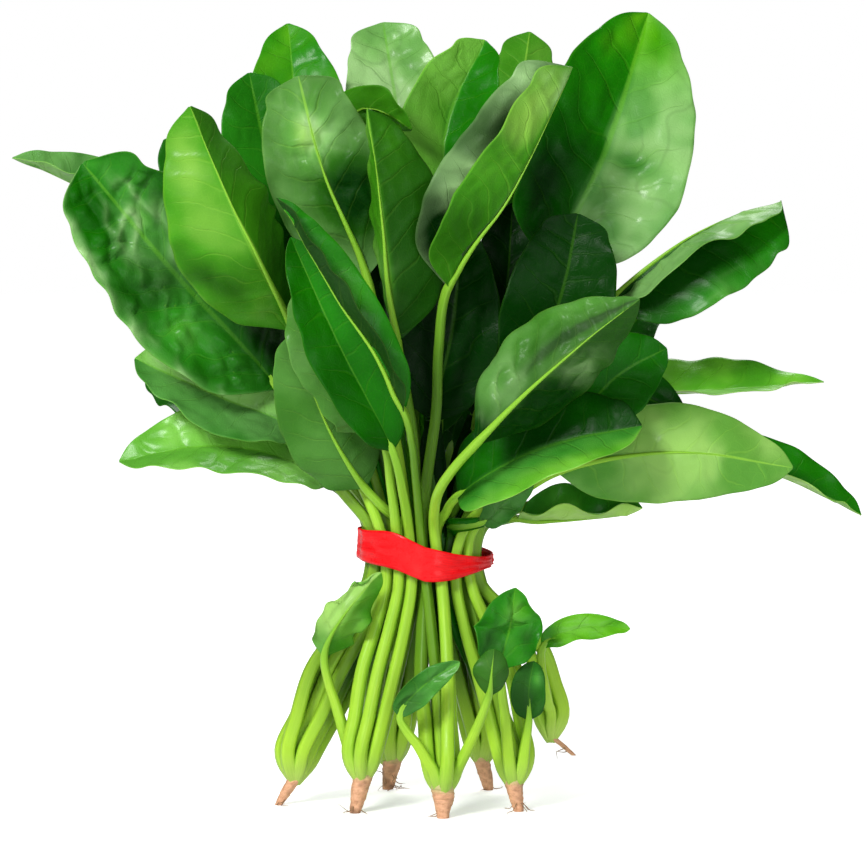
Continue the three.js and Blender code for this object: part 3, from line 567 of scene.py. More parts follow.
def add_blade(patches, leaf, look, style, seed):
    """The blade: two veined faces a little apart, joined round the rim."""
    middle_way = leaf.net[:, 2]
    length = np.linalg.norm(np.diff(middle_way, axis=0), axis=1).sum() / MM
    widest = np.linalg.norm(np.diff(leaf.net, axis=1), axis=2).sum(axis=1).max() / MM
    rows = int(np.clip(length / ROW_STEP, *ROWS_ALLOWED))
    half = int(np.clip(widest / COLUMN_STEP, *COLUMNS_ALLOWED))
    u = 1 - (1 - np.linspace(0, 1, rows)) ** TIP_CLOSENESS
    v = np.linspace(-1, 1, 2 * half + 1)
    tracks = run_through(BLADE_STATIONS, leaf.net, u)
    far = np.abs(v)
    nearer, middle, outer = (2 * far - 1) * (far - 1), 4 * far * (1 - far), far * (2 * far - 1)
    left = v < 0
    inner_track = tracks[:, 2]
    half_track = np.where(left[None, :, None], tracks[:, 1][:, None], tracks[:, 3][:, None])
    edge_track = np.where(left[None, :, None], tracks[:, 0][:, None], tracks[:, 4][:, None])
    rim_noise = soft_noise(u[:, None] * length / 7, np.where(left, 3.0, 40.0)[None, :], seed)
    nibble = soft_noise(u[:, None] * length / 16, np.where(left, 9.0, 50.0)[None, :], seed + 1)
    trim = np.where(left, *style["trim"])[None, :]
    pull = 1 - far[None, :, None] * (
        trim + style["ragged"] * rim_noise + 1.6 * style["ragged"] * np.maximum(nibble - 0.55, 0)
    )[..., None]
    way = nearer[None, :, None] * inner_track[:, None]
    way = way + middle[None, :, None] * half_track + outer[None, :, None] * edge_track
    way = inner_track[:, None] + (way - inner_track[:, None]) * pull
    along = np.gradient(way, axis=0)
    sideways = np.gradient(way, axis=1)
    normal = unit(np.cross(sideways, along))
    normal[0] = normal[1]
    normal[-1] = normal[-2]

    steps = np.linalg.norm(np.diff(way, axis=1), axis=2) / MM
    sums = np.concatenate([np.zeros((rows, 1)), np.cumsum(steps, axis=1)], axis=1)
    aside = sums - sums[:, half : half + 1]
    upward = (u * length)[:, None] + np.zeros_like(aside)
    bend = soft_noise(aside / 14 + 20, upward / 14, seed + 2) - 0.5
    ran = upward - look.vein_lean * np.abs(aside) ** 0.93
    phase_left = ran / style["spacing"] + 0.9 * bend
    phase_right = phase_left + 0.5
    phase = np.where(left[None, :], phase_left, phase_right)
    bulge = np.abs(np.sin(np.pi * phase)) ** 0.7
    across_phase = np.abs(aside) / (style["spacing"] * 0.62) + 0.8 * bend + 0.3 * phase
    second = np.abs(np.sin(np.pi * across_phase)) ** 0.7
    small = soft_noise(aside / 2.9 + 3, upward / 2.9, seed + 6) - 0.5
    patchy = 0.4 + 1.2 * soft_noise(aside / 9 + 7, upward / 9, seed + 3)
    inside = np.clip((1 - far) / 0.25, 0, 1)[None, :] * np.clip(far / 0.12, 0, 1)[None, :]
    ends = np.clip(u / 0.12, 0, 1) * np.clip((1 - u) / 0.12, 0, 1)
    pillows = bulge * (0.35 + 0.65 * second) - 0.35 + 0.35 * small
    relief = style["blister"] * pillows * patchy * inside * ends[:, None]
    uneven = soft_noise(upward / 25, np.sign(v)[None, :] * 9 + 30, seed + 4)
    turn = 2 * math.pi * (upward / 21 + 0.7 * uneven)
    edge_wave = style["wave"] * np.sin(turn + left * 1.9) * (far**3)[None, :] * ends[:, None]
    sag = SAG * style["wave"] * (soft_noise(aside / 24, upward / 24, seed + 5) - 0.5) * ends[:, None]
    crease = soft_noise(aside / 6 + 11, upward / 8.5 - aside / 14 + 9, seed + 8)
    crease = 1 - np.abs(2 * crease - 1)
    crumple, tone_more, silver_more = (np.zeros_like(aside) for _ in range(3))
    # Each place adds painted shade and painted highlight to the blade's tone and silver; its highlights
    # gather on the crests of the creases.
    for place in style["places"]:
        near = np.exp(-(((u - place.u) / place.tall) ** 2))[:, None]
        near = near * np.exp(-(((v - place.v) / place.wide) ** 2))[None, :]
        crumple += near * place.crumple
        tone_more += near * place.tone
        uneven = 0.25 + 1.4 * crease**2 if place.silver > 0 else 1
        silver_more += near * place.silver * uneven
    relief = relief + crumple * (crease**2 - 0.5) * np.clip(far / 0.12, 0, 1)[None, :] * ends[:, None]
    lift = (relief + edge_wave + sag) * MM
    from_vein = np.minimum(phase % 1, 1 - phase % 1)
    line = np.exp(-((from_vein / 0.09) ** 2)) * inside * ends[:, None]
    thick = look.blade_thickness * (1 - 0.45 * far[None, :] ** 6)
    under_line = line * look.vein_height * (1 - 0.6 * far[None, :])
    upper = way + normal * (lift + thick / 2 - 0.35 * under_line)[..., None]
    under = way + normal * (lift - thick / 2 - under_line)[..., None]

    to_right = np.clip(0.5 + v / 0.16, 0, 1)[None, :] + np.zeros((rows, 1))
    pairs = style["tones"], style["silver"]
    tone, silver = (pair[0] + (pair[1] - pair[0]) * to_right for pair in pairs)
    # Painted shade: every blade is darker towards its base, deep in the bunch.
    painted_base_shade = 0.72 + 0.28 * np.clip(u / 0.35, 0, 1)
    tone = tone * painted_base_shade[:, None] + tone_more
    silver = np.clip(silver + silver_more, 0, 1)

    def maps(row, column):
        side_left = column.max(axis=1) <= half
        flat = np.stack([aside[row, column] / 10, upward[row, column] / 10], axis=-1)
        chosen = np.where(side_left[:, None], phase_left[row, column], phase_right[row, column])
        return flat, np.stack([v[column], chosen], axis=-1)

    add_sheet(patches, upper, under, tone, silver, maps)
    return normal[:, half], u, inner_track + normal[:, half] * lift[:, half, None]


def add_wings(patches, leaf, look, width, tone):
    """A narrow strip of blade that runs down both sides of the stalk's upper part."""
    rows, columns = WING_ROWS, WING_COLUMNS
    reach = reach_along(leaf.centres)
    at = np.linspace(WING_START, 1, rows) * reach[-1]
    spine = run_through(reach, leaf.centres, at)
    along = unit(np.gradient(spine, axis=0))
    side = unit(leaf.net[1][4] - leaf.net[1][0])
    side = unit(side - along * (along @ side)[:, None])
    out = np.cross(side, along)
    share = np.linspace(0, 1, rows)
    ripple = soft_noise(share * 6, np.zeros(rows), int(reach[-1] / MM))
    swelling = np.sin(math.pi * np.clip(share * 0.85, 0.02, 1)) ** 0.7
    wide = width * MM * swelling * (0.7 + 0.6 * ripple)
    v = np.linspace(-1, 1, columns)
    middle = spine[:, None] + side[:, None] * (v[None, :] * wide[:, None])[..., None]
    curl = 0.25 * np.sin(2.5 * v[None, :] + 9 * share[:, None]) * wide[:, None]
    middle = middle + out[:, None] * curl[..., None]
    half_thick = out[:, None] * look.blade_thickness / 2
    aside = v[None, :] * wide[:, None] / MM

    def maps(row, column):
        flat = np.stack([aside[row, column] / 10, at[row] / MM / 10], axis=-1)
        return flat, np.stack([v[column], at[row] / MM / 9], axis=-1)

    marks = np.full((rows, columns), tone)
    add_sheet(patches, middle + half_thick, middle - half_thick, marks, marks * 0, maps)


def add_stalk(patches, leaf, look, tone, collar, rib_normal, rib_u, rib_way):
    """The stalk, from inside its crown to well up the blade, where it is the midrib."""
    foot = leaf.centres[0]
    below = []
    for drop, share in FOOT_PLACES:
        place = collar + (foot - collar) * share
        place[2] = foot[2] - drop * MM
        below.append(place)
    keep = rib_u <= MIDRIB_END
    spine = np.concatenate([below, leaf.centres, rib_way[keep][2::4]])
    share = rib_u[keep][2::4]
    radius = np.concatenate([
        leaf.radii[0] * FOOT_GIRTHS,
        leaf.radii * np.linspace(1.12, 0.9, len(leaf.radii)),
        leaf.radii[-1] * (0.8 * (1 - share) ** 2.2 + 0.06),
    ]) * look.stalk_fullness
    reach = reach_along(spine)
    steps = int(np.clip(reach[-1] / (2.6 * MM), 40, 130))
    at = np.linspace(0, reach[-1], steps)
    way = run_through(reach, spine, at)
    size = np.interp(at, reach, radius)
    t = unit(np.gradient(way, axis=0))
    blade_start = reach[len(below) + len(leaf.centres) - 1]
    up_here = rib_normal[2]
    n = np.tile(up_here, (steps, 1))
    on_blade = at > blade_start
    if on_blade.any():
        along = np.interp(at[on_blade], reach[len(below) + len(leaf.centres) :], share)
        picked = np.clip(np.searchsorted(rib_u, along), 0, len(rib_u) - 1)
        n[on_blade] = rib_normal[picked]
    n = unit(n - t * (n * t).sum(axis=1, keepdims=True))
    s = np.cross(t, n)
    sunk = 0.75 * np.clip((at - blade_start) / (9 * MM), 0, 1)
    way = way - n * (sunk * size)[:, None]
    sides = STALK_SIDES
    turn = np.linspace(0, 2 * math.pi, sides, endpoint=False)
    groove = 1 - look.groove * np.exp(-((np.minimum(turn, 2 * math.pi - turn) / 0.55) ** 2))
    ribs = 1 + 0.055 * np.cos(7 * turn)
    channel = (groove * ribs)[None, :, None]
    round_way = np.cos(turn)[None, :, None] * n[:, None] + np.sin(turn)[None, :, None] * s[:, None]
    spots = way[:, None] + round_way * size[:, None, None] * channel
    start = patches.add_spots(spots, tone)
    quads, row, column = quads_between(start, steps, sides, wrap=True)
    flat = np.stack([column / sides, at[row] / MM / 10], axis=-1)
    height = (way[row, 2] - collar[2]) / MM / 100
    patches.add_quads(quads, 2, flat, np.stack([at[row] / blade_start, height], axis=-1))
    add_cap(patches, way[0], start, sides, False, 2, 0)
    add_cap(patches, way[-1], start + (steps - 1) * sides, sides, True, 2, 1.3)


# Shader groups and materials


def shader_group(name, inputs, outputs):
    """An empty node group with named inputs and outputs, and its two end nodes."""
    tree = bpy.data.node_groups.new(name, "ShaderNodeTree")
    for label, kind, default in inputs:
        socket = tree.interface.new_socket(label, in_out="INPUT", socket_type=kind)
        socket.default_value = default
    for label, kind in outputs:
        tree.interface.new_socket(label, in_out="OUTPUT", socket_type=kind)
    return tree, tree.nodes.new("NodeGroupInput"), tree.nodes.new("NodeGroupOutput")


class Wiring:
    """Short words for making and joining the nodes of one tree."""

    def __init__(self, tree):
        self.tree = tree

    def node(self, kind, **values):
        made = self.tree.nodes.new(kind)
        for key, value in values.items():
            setattr(made, key, value)
        return made

    def join(self, output, socket):
        self.tree.links.new(output, socket)

    def feed(self, socket, value):
        if isinstance(value, bpy.types.NodeSocket):
            self.join(value, socket)
        else:
            socket.default_value = value

    def math(self, operation, *values, clamp=False):
        made = self.node("ShaderNodeMath", operation=operation, use_clamp=clamp)
        for socket, value in zip(made.inputs, values):
            self.feed(socket, value)
        return made.outputs[0]

    def ramp(self, value, low, high, out_low=0.0, out_high=1.0):
        made = self.node("ShaderNodeMapRange", interpolation_type="SMOOTHSTEP")
        for label, number in zip(
            ("Value", "From Min", "From Max", "To Min", "To Max"), (value, low, high, out_low, out_high)
        ):
            self.feed(made.inputs[label], number)
        return made.outputs["Result"]

    def blend(self, share, one, two):
        made = self.node("ShaderNodeMix", data_type="RGBA")
        self.feed(made.inputs["Factor"], share)
        self.feed(made.inputs["A"], one)
        self.feed(made.inputs["B"], two)
        return made.outputs["Result"]

    def noise(self, vector, scale, detail=2.0, roughness=0.5):
        made = self.node("ShaderNodeTexNoise")
        self.join(vector, made.inputs["Vector"])
        made.inputs["Scale"].default_value = scale
        made.inputs["Detail"].default_value = detail
        made.inputs["Roughness"].default_value = roughness
        return made.outputs["Fac"]


def vein_group():
    """Side veins and the fine net between them, from a leaf's two UV maps."""
    tree, start, end = shader_group(
        "Leaf veins",
        [
            ("Flat", "NodeSocketVector", (0, 0, 0)),
            ("Veins", "NodeSocketVector", (0, 0, 0)),
            ("Line Width", "NodeSocketFloat", 0.06),
            ("Net Scale", "NodeSocketFloat", 2.4),
        ],
        [("Line", "NodeSocketFloat"), ("Net", "NodeSocketFloat"), ("Height", "NodeSocketFloat")],
    )
    wire = Wiring(tree)
    parts = wire.node("ShaderNodeSeparateXYZ")
    wire.join(start.outputs["Veins"], parts.inputs[0])
    far = wire.math("ABSOLUTE", parts.outputs["X"])
    wobble = wire.noise(start.outputs["Flat"], 1.3, 1.0)
    phase = wire.math("ADD", parts.outputs["Y"], wire.math("MULTIPLY", wobble, 0.3))
    near = wire.math("PINGPONG", phase, 0.5)
    width = wire.math("MULTIPLY", start.outputs["Line Width"], wire.ramp(far, 0, 1, 1.2, 0.35))
    line = wire.ramp(wire.math("DIVIDE", near, width), 0.3, 1.0, 1.0, 0.0)
    fade = wire.ramp(far, 0.72, 0.97, 1.0, 0.0)
    line = wire.math("MULTIPLY", line, fade)
    nets = []
    for scale, sharp in ((1.0, 0.10), (2.7, 0.14)):
        cells = wire.node("ShaderNodeTexVoronoi", feature="DISTANCE_TO_EDGE", voronoi_dimensions="2D")
        warp = wire.node("ShaderNodeVectorMath", operation="ADD")
        shift = wire.node("ShaderNodeTexNoise")
        wire.join(start.outputs["Flat"], shift.inputs["Vector"])
        shift.inputs["Scale"].default_value = 1.6
        small = wire.node("ShaderNodeVectorMath", operation="SCALE")
        wire.join(shift.outputs["Color"], small.inputs[0])
        small.inputs["Scale"].default_value = 0.35
        wire.join(start.outputs["Flat"], warp.inputs[0])
        wire.join(small.outputs[0], warp.inputs[1])
        wire.join(warp.outputs[0], cells.inputs["Vector"])
        wire.join(wire.math("MULTIPLY", start.outputs["Net Scale"], scale), cells.inputs["Scale"])
        nets.append(wire.ramp(cells.outputs["Distance"], 0, sharp, 1.0, 0.0))
    net = wire.math("MAXIMUM", nets[0], wire.math("MULTIPLY", nets[1], 0.45))
    dip = wire.math("ADD", wire.math("MULTIPLY", line, 0.45), wire.math("MULTIPLY", net, 0.1))
    grain = wire.math("MULTIPLY", wire.noise(start.outputs["Flat"], 14, 3.0), 0.22)
    height = wire.math("SUBTRACT", grain, dip)
    wire.join(line, end.inputs["Line"])
    wire.join(net, end.inputs["Net"])
    wire.join(height, end.inputs["Height"])
    return tree


def mottle_group():
    """Slow changes of shade over a plant's skin."""
    tree, start, end = shader_group(
        "Plant mottle",
        [("Vector", "NodeSocketVector", (0, 0, 0)), ("Scale", "NodeSocketFloat", 60.0)],
        [("Wide", "NodeSocketFloat"), ("Fine", "NodeSocketFloat")],
    )
    wire = Wiring(tree)
    for label, times, detail in (("Wide", 1.0, 2.0), ("Fine", 9.0, 4.0)):
        made = wire.node("ShaderNodeTexNoise")
        wire.join(start.outputs["Vector"], made.inputs["Vector"])
        wire.join(wire.math("MULTIPLY", start.outputs["Scale"], times), made.inputs["Scale"])
        made.inputs["Detail"].default_value = detail
        wire.join(made.outputs["Fac"], end.inputs[label])
    return tree


def new_material(name):
    """A material with its wiring and its shader."""
    material = bpy.data.materials.new(name)
    material.use_nodes = True
    tree = material.node_tree
    return material, Wiring(tree), tree.nodes["Principled BSDF"]


def grouped(wire, tree, **inputs):
    """A node that holds a shader group, with its sockets fed."""
    made = wire.node("ShaderNodeGroup", node_tree=tree)
    for label, value in inputs.items():
        wire.feed(made.inputs[label.replace("_", " ")], value)
    return made


def mottled(wire, groups, scale):
    """The mottle pattern over an object's own coordinates."""
    place = wire.node("ShaderNodeTexCoord").outputs["Object"]
    return grouped(wire, groups["mottle"], Vector=place, Scale=scale)


def bump(wire, shader, height, strength, distance):
    """Small relief in a shader's normal."""
    made = wire.node("ShaderNodeBump")
    made.inputs["Strength"].default_value = strength
    made.inputs["Distance"].default_value = distance
    wire.join(height, made.inputs["Height"])
    wire.join(made.outputs[0], shader.inputs["Normal"])


def colour(value):
    """A colour with its fourth value."""
    return (*value, 1.0) if len(value) == 3 else tuple(value)


def leaf_face_material(look, groups, name, shades, vein, rough, line_share, relief):
    """One face of the leaves: painted shade and light by the leaf's tone, a painted sheen with painted
    crease shade by its silver, lighter veins, a pale edge that is partly a painted rim highlight, and a
    waxy gloss.
    """
    material, wire, shader = new_material(name)
    flat = wire.node("ShaderNodeUVMap", uv_map="leaf").outputs[0]
    lines = wire.node("ShaderNodeUVMap", uv_map="veins").outputs[0]
    veins = grouped(wire, groups["veins"], Flat=flat, Veins=lines)
    place = wire.node("ShaderNodeTexCoord").outputs["Object"]
    mottle = grouped(wire, groups["mottle"], Vector=place, Scale=38.0)
    tone = wire.node("ShaderNodeAttribute", attribute_name="tone").outputs["Fac"]
    silver = wire.node("ShaderNodeAttribute", attribute_name="silver").outputs["Fac"]
    parts = wire.node("ShaderNodeSeparateXYZ")
    wire.join(lines, parts.inputs[0])
    far = wire.math("ABSOLUTE", parts.outputs["X"])
    uneven = wire.ramp(mottle.outputs["Wide"], 0.3, 0.7, 0.82, 1.18)
    shade = wire.math("MULTIPLY", tone, uneven, clamp=True)
    # The tone paints shade and light: it blends the skin from dark through middling to bright green.
    dark, middling, bright = (colour(value) for value in shades)
    skin = wire.blend(wire.math("MULTIPLY", shade, 2.0, clamp=True), dark, middling)
    skin = wire.blend(wire.ramp(shade, 0.45, 1.0), skin, bright)
    # Painted sheen: where a leaf has silver, its skin turns pale green in soft clouds.
    cloud = wire.ramp(mottle.outputs["Wide"], 0.35, 0.6, 0.45, 1.1)
    skin = wire.blend(wire.math("MULTIPLY", silver, cloud, clamp=True), skin, colour(look.silver))
    # Painted shade in creases: thin dark lines across the painted sheen.
    fold = wire.math("ABSOLUTE", wire.math("SUBTRACT", wire.noise(flat, 0.42, 1.5, 0.4), 0.5))
    fold = wire.math("MULTIPLY", wire.ramp(fold, 0.001, 0.03, 0.42, 0.0), silver)
    skin = wire.blend(wire.math("MULTIPLY", fold, mottle.outputs["Wide"]), skin, dark)
    # Lighter lines: the midrib's is the leaf's own vein colour, and the one round the edge is partly the
    # thin margin's colour and partly a painted rim highlight.
    centre = wire.ramp(far, 0.012, 0.05, 2.2, 0.0)
    edge = wire.ramp(far, 0.95, 1.0, 0.0, 0.8)
    marks = wire.math("MULTIPLY", veins.outputs["Line"], line_share * 0.55)
    marks = wire.math("MAXIMUM", marks, wire.math("MULTIPLY", veins.outputs["Net"], line_share * 0.15))
    marks = wire.math("MAXIMUM", marks, wire.math("MULTIPLY", centre, line_share))
    marks = wire.math("MAXIMUM", marks, wire.math("MULTIPLY", edge, line_share))
    marks = wire.math("MULTIPLY", marks, wire.ramp(tone, 0.1, 0.6, 0.25, 1.0))
    skin = wire.blend(marks, skin, colour(vein))
    wire.join(skin, shader.inputs["Base Color"])
    gloss = wire.ramp(mottle.outputs["Fine"], 0.3, 0.7, rough - 0.05, rough + 0.1)
    wire.join(gloss, shader.inputs["Roughness"])
    wet = wire.math("ADD", wire.math("MULTIPLY", shade, 0.8), wire.math("MULTIPLY", silver, 0.5))
    wire.join(wire.math("MULTIPLY", wet, look.wax * 2), shader.inputs["Coat Weight"])
    shader.inputs["Coat Roughness"].default_value = 0.2
    shader.inputs["IOR"].default_value = 1.45
    shader.inputs["Specular IOR Level"].default_value = look.gloss
    bump(wire, shader, veins.outputs["Height"], relief, 0.0006)
    return material


def stalk_material(look, groups):
    """Grooved pale green stalk, whiter at its foot and greener up the blade, with painted shade higher
    up, in its grooves and on stalks deep in the bunch.
    """
    material, wire, shader = new_material("stalk_skin")
    flat = wire.node("ShaderNodeUVMap", uv_map="leaf").outputs[0]
    place = wire.node("ShaderNodeUVMap", uv_map="veins").outputs[0]
    parts = wire.node("ShaderNodeSeparateXYZ")
    wire.join(place, parts.inputs[0])
    mottle = mottled(wire, groups, 45.0)
    stretch = wire.node("ShaderNodeMapping")
    stretch.inputs["Scale"].default_value = (26.0, 0.35, 1.0)
    wire.join(flat, stretch.inputs["Vector"])
    fibre = wire.noise(stretch.outputs[0], 1.0, 3.0, 0.6)
    up = wire.ramp(parts.outputs["X"], 0.55, 1.25, 0.0, 1.0)
    skin = wire.blend(up, colour(look.stalk_colour), colour(look.midrib_colour))
    foot = wire.ramp(parts.outputs["Y"], -0.02, 0.14, 1.0, 0.0)
    skin = wire.blend(foot, skin, colour(look.foot_colour))
    # Light streaks on the raised fibres are the stalk's own colour; the darker ones in the fibres'
    # grooves are painted shade.
    streak = wire.ramp(fibre, 0.5, 0.75, 0.0, 0.6)
    skin = wire.blend(streak, skin, colour(look.streak_colour))
    furrow_shade = wire.ramp(fibre, 0.25, 0.5, 0.55, 0.0)
    skin = wire.blend(furrow_shade, skin, colour(look.midrib_colour))
    shade = wire.ramp(mottle.outputs["Wide"], 0.35, 0.65, 0.0, 0.3)
    skin = wire.blend(shade, skin, colour(look.midrib_colour))
    # Painted shade: the stalks turn darker green higher up, under the band and the leaves.
    painted_shade_higher_up = wire.ramp(parts.outputs["Y"], 0.25, 0.7, 0.0, 0.3)
    skin = wire.blend(painted_shade_higher_up, skin, colour(look.midrib_colour))
    # Painted shade on stalks deep in the bunch: a low stalk tone darkens a stalk above its foot, up to
    # the blade.
    tone = wire.node("ShaderNodeAttribute", attribute_name="tone").outputs["Fac"]
    above = wire.ramp(parts.outputs["Y"], 0.1, 0.5, 0.0, 1.0)
    inner = wire.math("MULTIPLY", wire.ramp(tone, 0.0, 0.8, 0.95, 0.0), above)
    inner = wire.math("MULTIPLY", inner, wire.ramp(parts.outputs["X"], 0.85, 1.1, 1.0, 0.0))
    skin = wire.blend(inner, skin, colour(look.shaded_colour))
    wire.join(skin, shader.inputs["Base Color"])
    gloss = wire.ramp(mottle.outputs["Fine"], 0.3, 0.7, 0.3, 0.45)
    wire.join(gloss, shader.inputs["Roughness"])
    shader.inputs["Coat Weight"].default_value = 0.1
    shader.inputs["Coat Roughness"].default_value = 0.2
    shader.inputs["Specular IOR Level"].default_value = 0.2
    bump(wire, shader, fibre, 0.35, 0.0004)
    return material


def root_material(look, groups):
    """Tan root skin with brown rings and soil stains, turning to the neck's colour at its top."""
    material, wire, shader = new_material("root_skin")
    flat = wire.node("ShaderNodeUVMap", uv_map="leaf").outputs[0]
    parts = wire.node("ShaderNodeSeparateXYZ")
    wire.join(flat, parts.inputs[0])
    stretch = wire.node("ShaderNodeMapping")
    stretch.inputs["Scale"].default_value = (2.0, 5.0, 1.0)
    wire.join(flat, stretch.inputs["Vector"])
    ring = wire.noise(stretch.outputs[0], 1.6, 4.0, 0.65)
    mottle = mottled(wire, groups, 140.0)
    ringed = wire.ramp(ring, 0.38, 0.68)
    skin = wire.blend(ringed, colour(look.root_colour), colour(look.root_ring_colour))
    stain = wire.ramp(mottle.outputs["Wide"], 0.5, 0.72, 0.0, 0.6)
    skin = wire.blend(stain, skin, colour(look.soil_colour))
    green = wire.ramp(parts.outputs["Y"], 0.85, 1.2, 0.0, 0.85)
    skin = wire.blend(green, skin, colour(look.neck_colour))
    wire.join(skin, shader.inputs["Base Color"])
    shader.inputs["Roughness"].default_value = 0.55
    grain = wire.math("MULTIPLY", mottle.outputs["Fine"], 0.5)
    bump(wire, shader, wire.math("ADD", ring, grain), 0.6, 0.0005)
    return material


def rootlet_material(look, groups):
    """Matt skin of the side roots, darker in places."""
    material, wire, shader = new_material("rootlet_skin")
    mottle = mottled(wire, groups, 220.0)
    skin = wire.blend(mottle.outputs["Wide"], colour(look.rootlet_colour), colour(look.soil_colour))
    wire.join(skin, shader.inputs["Base Color"])
    shader.inputs["Roughness"].default_value = 0.7
    bump(wire, shader, mottle.outputs["Fine"], 0.4, 0.0003)
    return material


def band_material(look, groups):
    """Thin glossy strip with fine lengthwise creases."""
    material, wire, shader = new_material("band_strip")
    flat = wire.node("ShaderNodeUVMap", uv_map="leaf").outputs[0]
    stretch = wire.node("ShaderNodeMapping")
    stretch.inputs["Scale"].default_value = (1.2, 26.0, 1.0)
    wire.join(flat, stretch.inputs["Vector"])
    crease = wire.noise(stretch.outputs[0], 1.0, 4.0, 0.6)
    mottle = mottled(wire, groups, 70.0)
    # Painted shade: the strip is darker in its creases, from the same noise as their bump.
    skin = wire.blend(wire.ramp(crease, 0.3, 0.7), colour(look.band_dark), colour(look.band_bright))
    paler = wire.ramp(mottle.outputs["Wide"], 0.55, 0.75, 0.0, 0.4)
    skin = wire.blend(paler, skin, colour(look.band_pale))
    wire.join(skin, shader.inputs["Base Color"])
    wire.join(wire.ramp(mottle.outputs["Fine"], 0.3, 0.7, 0.24, 0.4), shader.inputs["Roughness"])
    shader.inputs["Coat Weight"].default_value = 0.12
    shader.inputs["Coat Roughness"].default_value = 0.15
    shader.inputs["Specular IOR Level"].default_value = 0.18
    bump(wire, shader, crease, 0.3, 0.0005)
    return material


def shared(name, make):
    """A node group or material that is built once and found again by name."""
    store = bpy.data.node_groups if name in ("Leaf veins", "Plant mottle") else bpy.data.materials
    return store.get(name) or make()


def plant_groups():
    """The two shader groups that the plant materials share."""
    return {"veins": shared("Leaf veins", vein_group), "mottle": shared("Plant mottle", mottle_group)}


# Sizes and colours that a user would change


class LeafLook(bpy.types.PropertyGroup):
    blade_thickness: FloatProperty(
        name="Blade thickness", description="Thickness of a blade away from its edge",
        default=0.55 * MM, unit="LENGTH"
    )
    vein_height: FloatProperty(
        name="Vein height", description="How far the side veins stand out below",
        default=0.35 * MM, unit="LENGTH"
    )
    vein_lean: FloatProperty(
        name="Vein lean", description="How steeply the side veins run towards the tip", default=0.85
    )
    stalk_fullness: FloatProperty(
        name="Stalk fullness", description="Thickness of the stalks against the plain solids",
        default=1.03
    )
    groove: FloatProperty(
        name="Groove", description="Depth of the groove along a stalk's upper side",
        default=0.3
    )
    silver: FloatVectorProperty(
        name="Silver", description="Pale waxy shine on some leaves",
        default=(0.33, 0.56, 0.22), subtype="COLOR"
    )
    wax: FloatProperty(
        name="Wax", description="Strength of the waxy gloss",
        default=0.12, subtype="FACTOR"
    )
    gloss: FloatProperty(
        name="Gloss", description="Strength of the skin's own shine",
        default=0.08, subtype="FACTOR"
    )
    upper_dark: FloatVectorProperty(
        name="Upper dark", description="Upper side of the darkest leaves",
        default=(0.0003, 0.018, 0.0003), subtype="COLOR"
    )
    upper_middling: FloatVectorProperty(
        name="Upper middling", description="Upper side of most leaves",
        default=(0.01, 0.2, 0.0006), subtype="COLOR"
    )
    upper_bright: FloatVectorProperty(
        name="Upper bright", description="Upper side of the brightest leaves",
        default=(0.14, 0.5, 0.006), subtype="COLOR"
    )
    upper_vein: FloatVectorProperty(
        name="Upper vein", description="Veins on the upper side",
        default=(0.13, 0.42, 0.02), subtype="COLOR"
    )
    under_dark: FloatVectorProperty(
        name="Under dark", description="Underside of the darkest leaves",
        default=(0.001, 0.034, 0.0005), subtype="COLOR"
    )
    under_middling: FloatVectorProperty(
        name="Under middling", description="Underside of most leaves",
        default=(0.045, 0.25, 0.005), subtype="COLOR"
    )
    under_bright: FloatVectorProperty(
        name="Under bright", description="Underside of the brightest leaves",
        default=(0.34, 0.62, 0.09), subtype="COLOR"
    )
    under_vein: FloatVectorProperty(
        name="Under vein", description="Veins on the underside",
        default=(0.3, 0.62, 0.06), subtype="COLOR"
    )
    stalk_colour: FloatVectorProperty(
        name="Stalk", description="The stalks between crown and blade",
        default=(0.4, 0.68, 0.04), subtype="COLOR"
    )
    midrib_colour: FloatVectorProperty(
        name="Midrib", description="The stalk where it runs up the blade",
        default=(0.22, 0.5, 0.03), subtype="COLOR"
    )
    foot_colour: FloatVectorProperty(
        name="Foot", description="The stalk's foot at the crown",
        default=(0.46, 0.66, 0.13), subtype="COLOR"
    )
    shaded_colour: FloatVectorProperty(
        name="Inner stalk", description="Stalks deep in the bunch",
        default=(0.012, 0.1, 0.003), subtype="COLOR"
    )
    streak_colour: FloatVectorProperty(
        name="Streak", description="Lengthwise streaks on the stalks",
        default=(0.52, 0.75, 0.09), subtype="COLOR"
    )


class CrownLook(bpy.types.PropertyGroup):
    root_colour: FloatVectorProperty(
        name="Root", description="Skin of the taproots", default=(0.8, 0.43, 0.25), subtype="COLOR"
    )
    root_ring_colour: FloatVectorProperty(
        name="Root rings", description="Rings round the taproots",
        default=(0.6, 0.3, 0.16), subtype="COLOR"
    )
    soil_colour: FloatVectorProperty(
        name="Soil", description="Soil stains and old root skin",
        default=(0.12, 0.055, 0.025), subtype="COLOR"
    )
    neck_colour: FloatVectorProperty(
        name="Neck", description="Top of the root, where the stalks start",
        default=(0.5, 0.5, 0.2), subtype="COLOR"
    )
    rootlet_colour: FloatVectorProperty(
        name="Rootlet", description="Thin side roots", default=(0.5, 0.3, 0.16), subtype="COLOR"
    )
    rootlets: IntProperty(name="Rootlets", description="Thin side roots on one taproot", default=3, min=0)
    rootlet_length: FloatProperty(
        name="Rootlet length", description="Length of the longest side roots",
        default=5 * MM, unit="LENGTH"
    )
    rootlet_radius: FloatProperty(
        name="Rootlet radius", description="Thickness of a side root at its start",
        default=0.24 * MM, unit="LENGTH"
    )


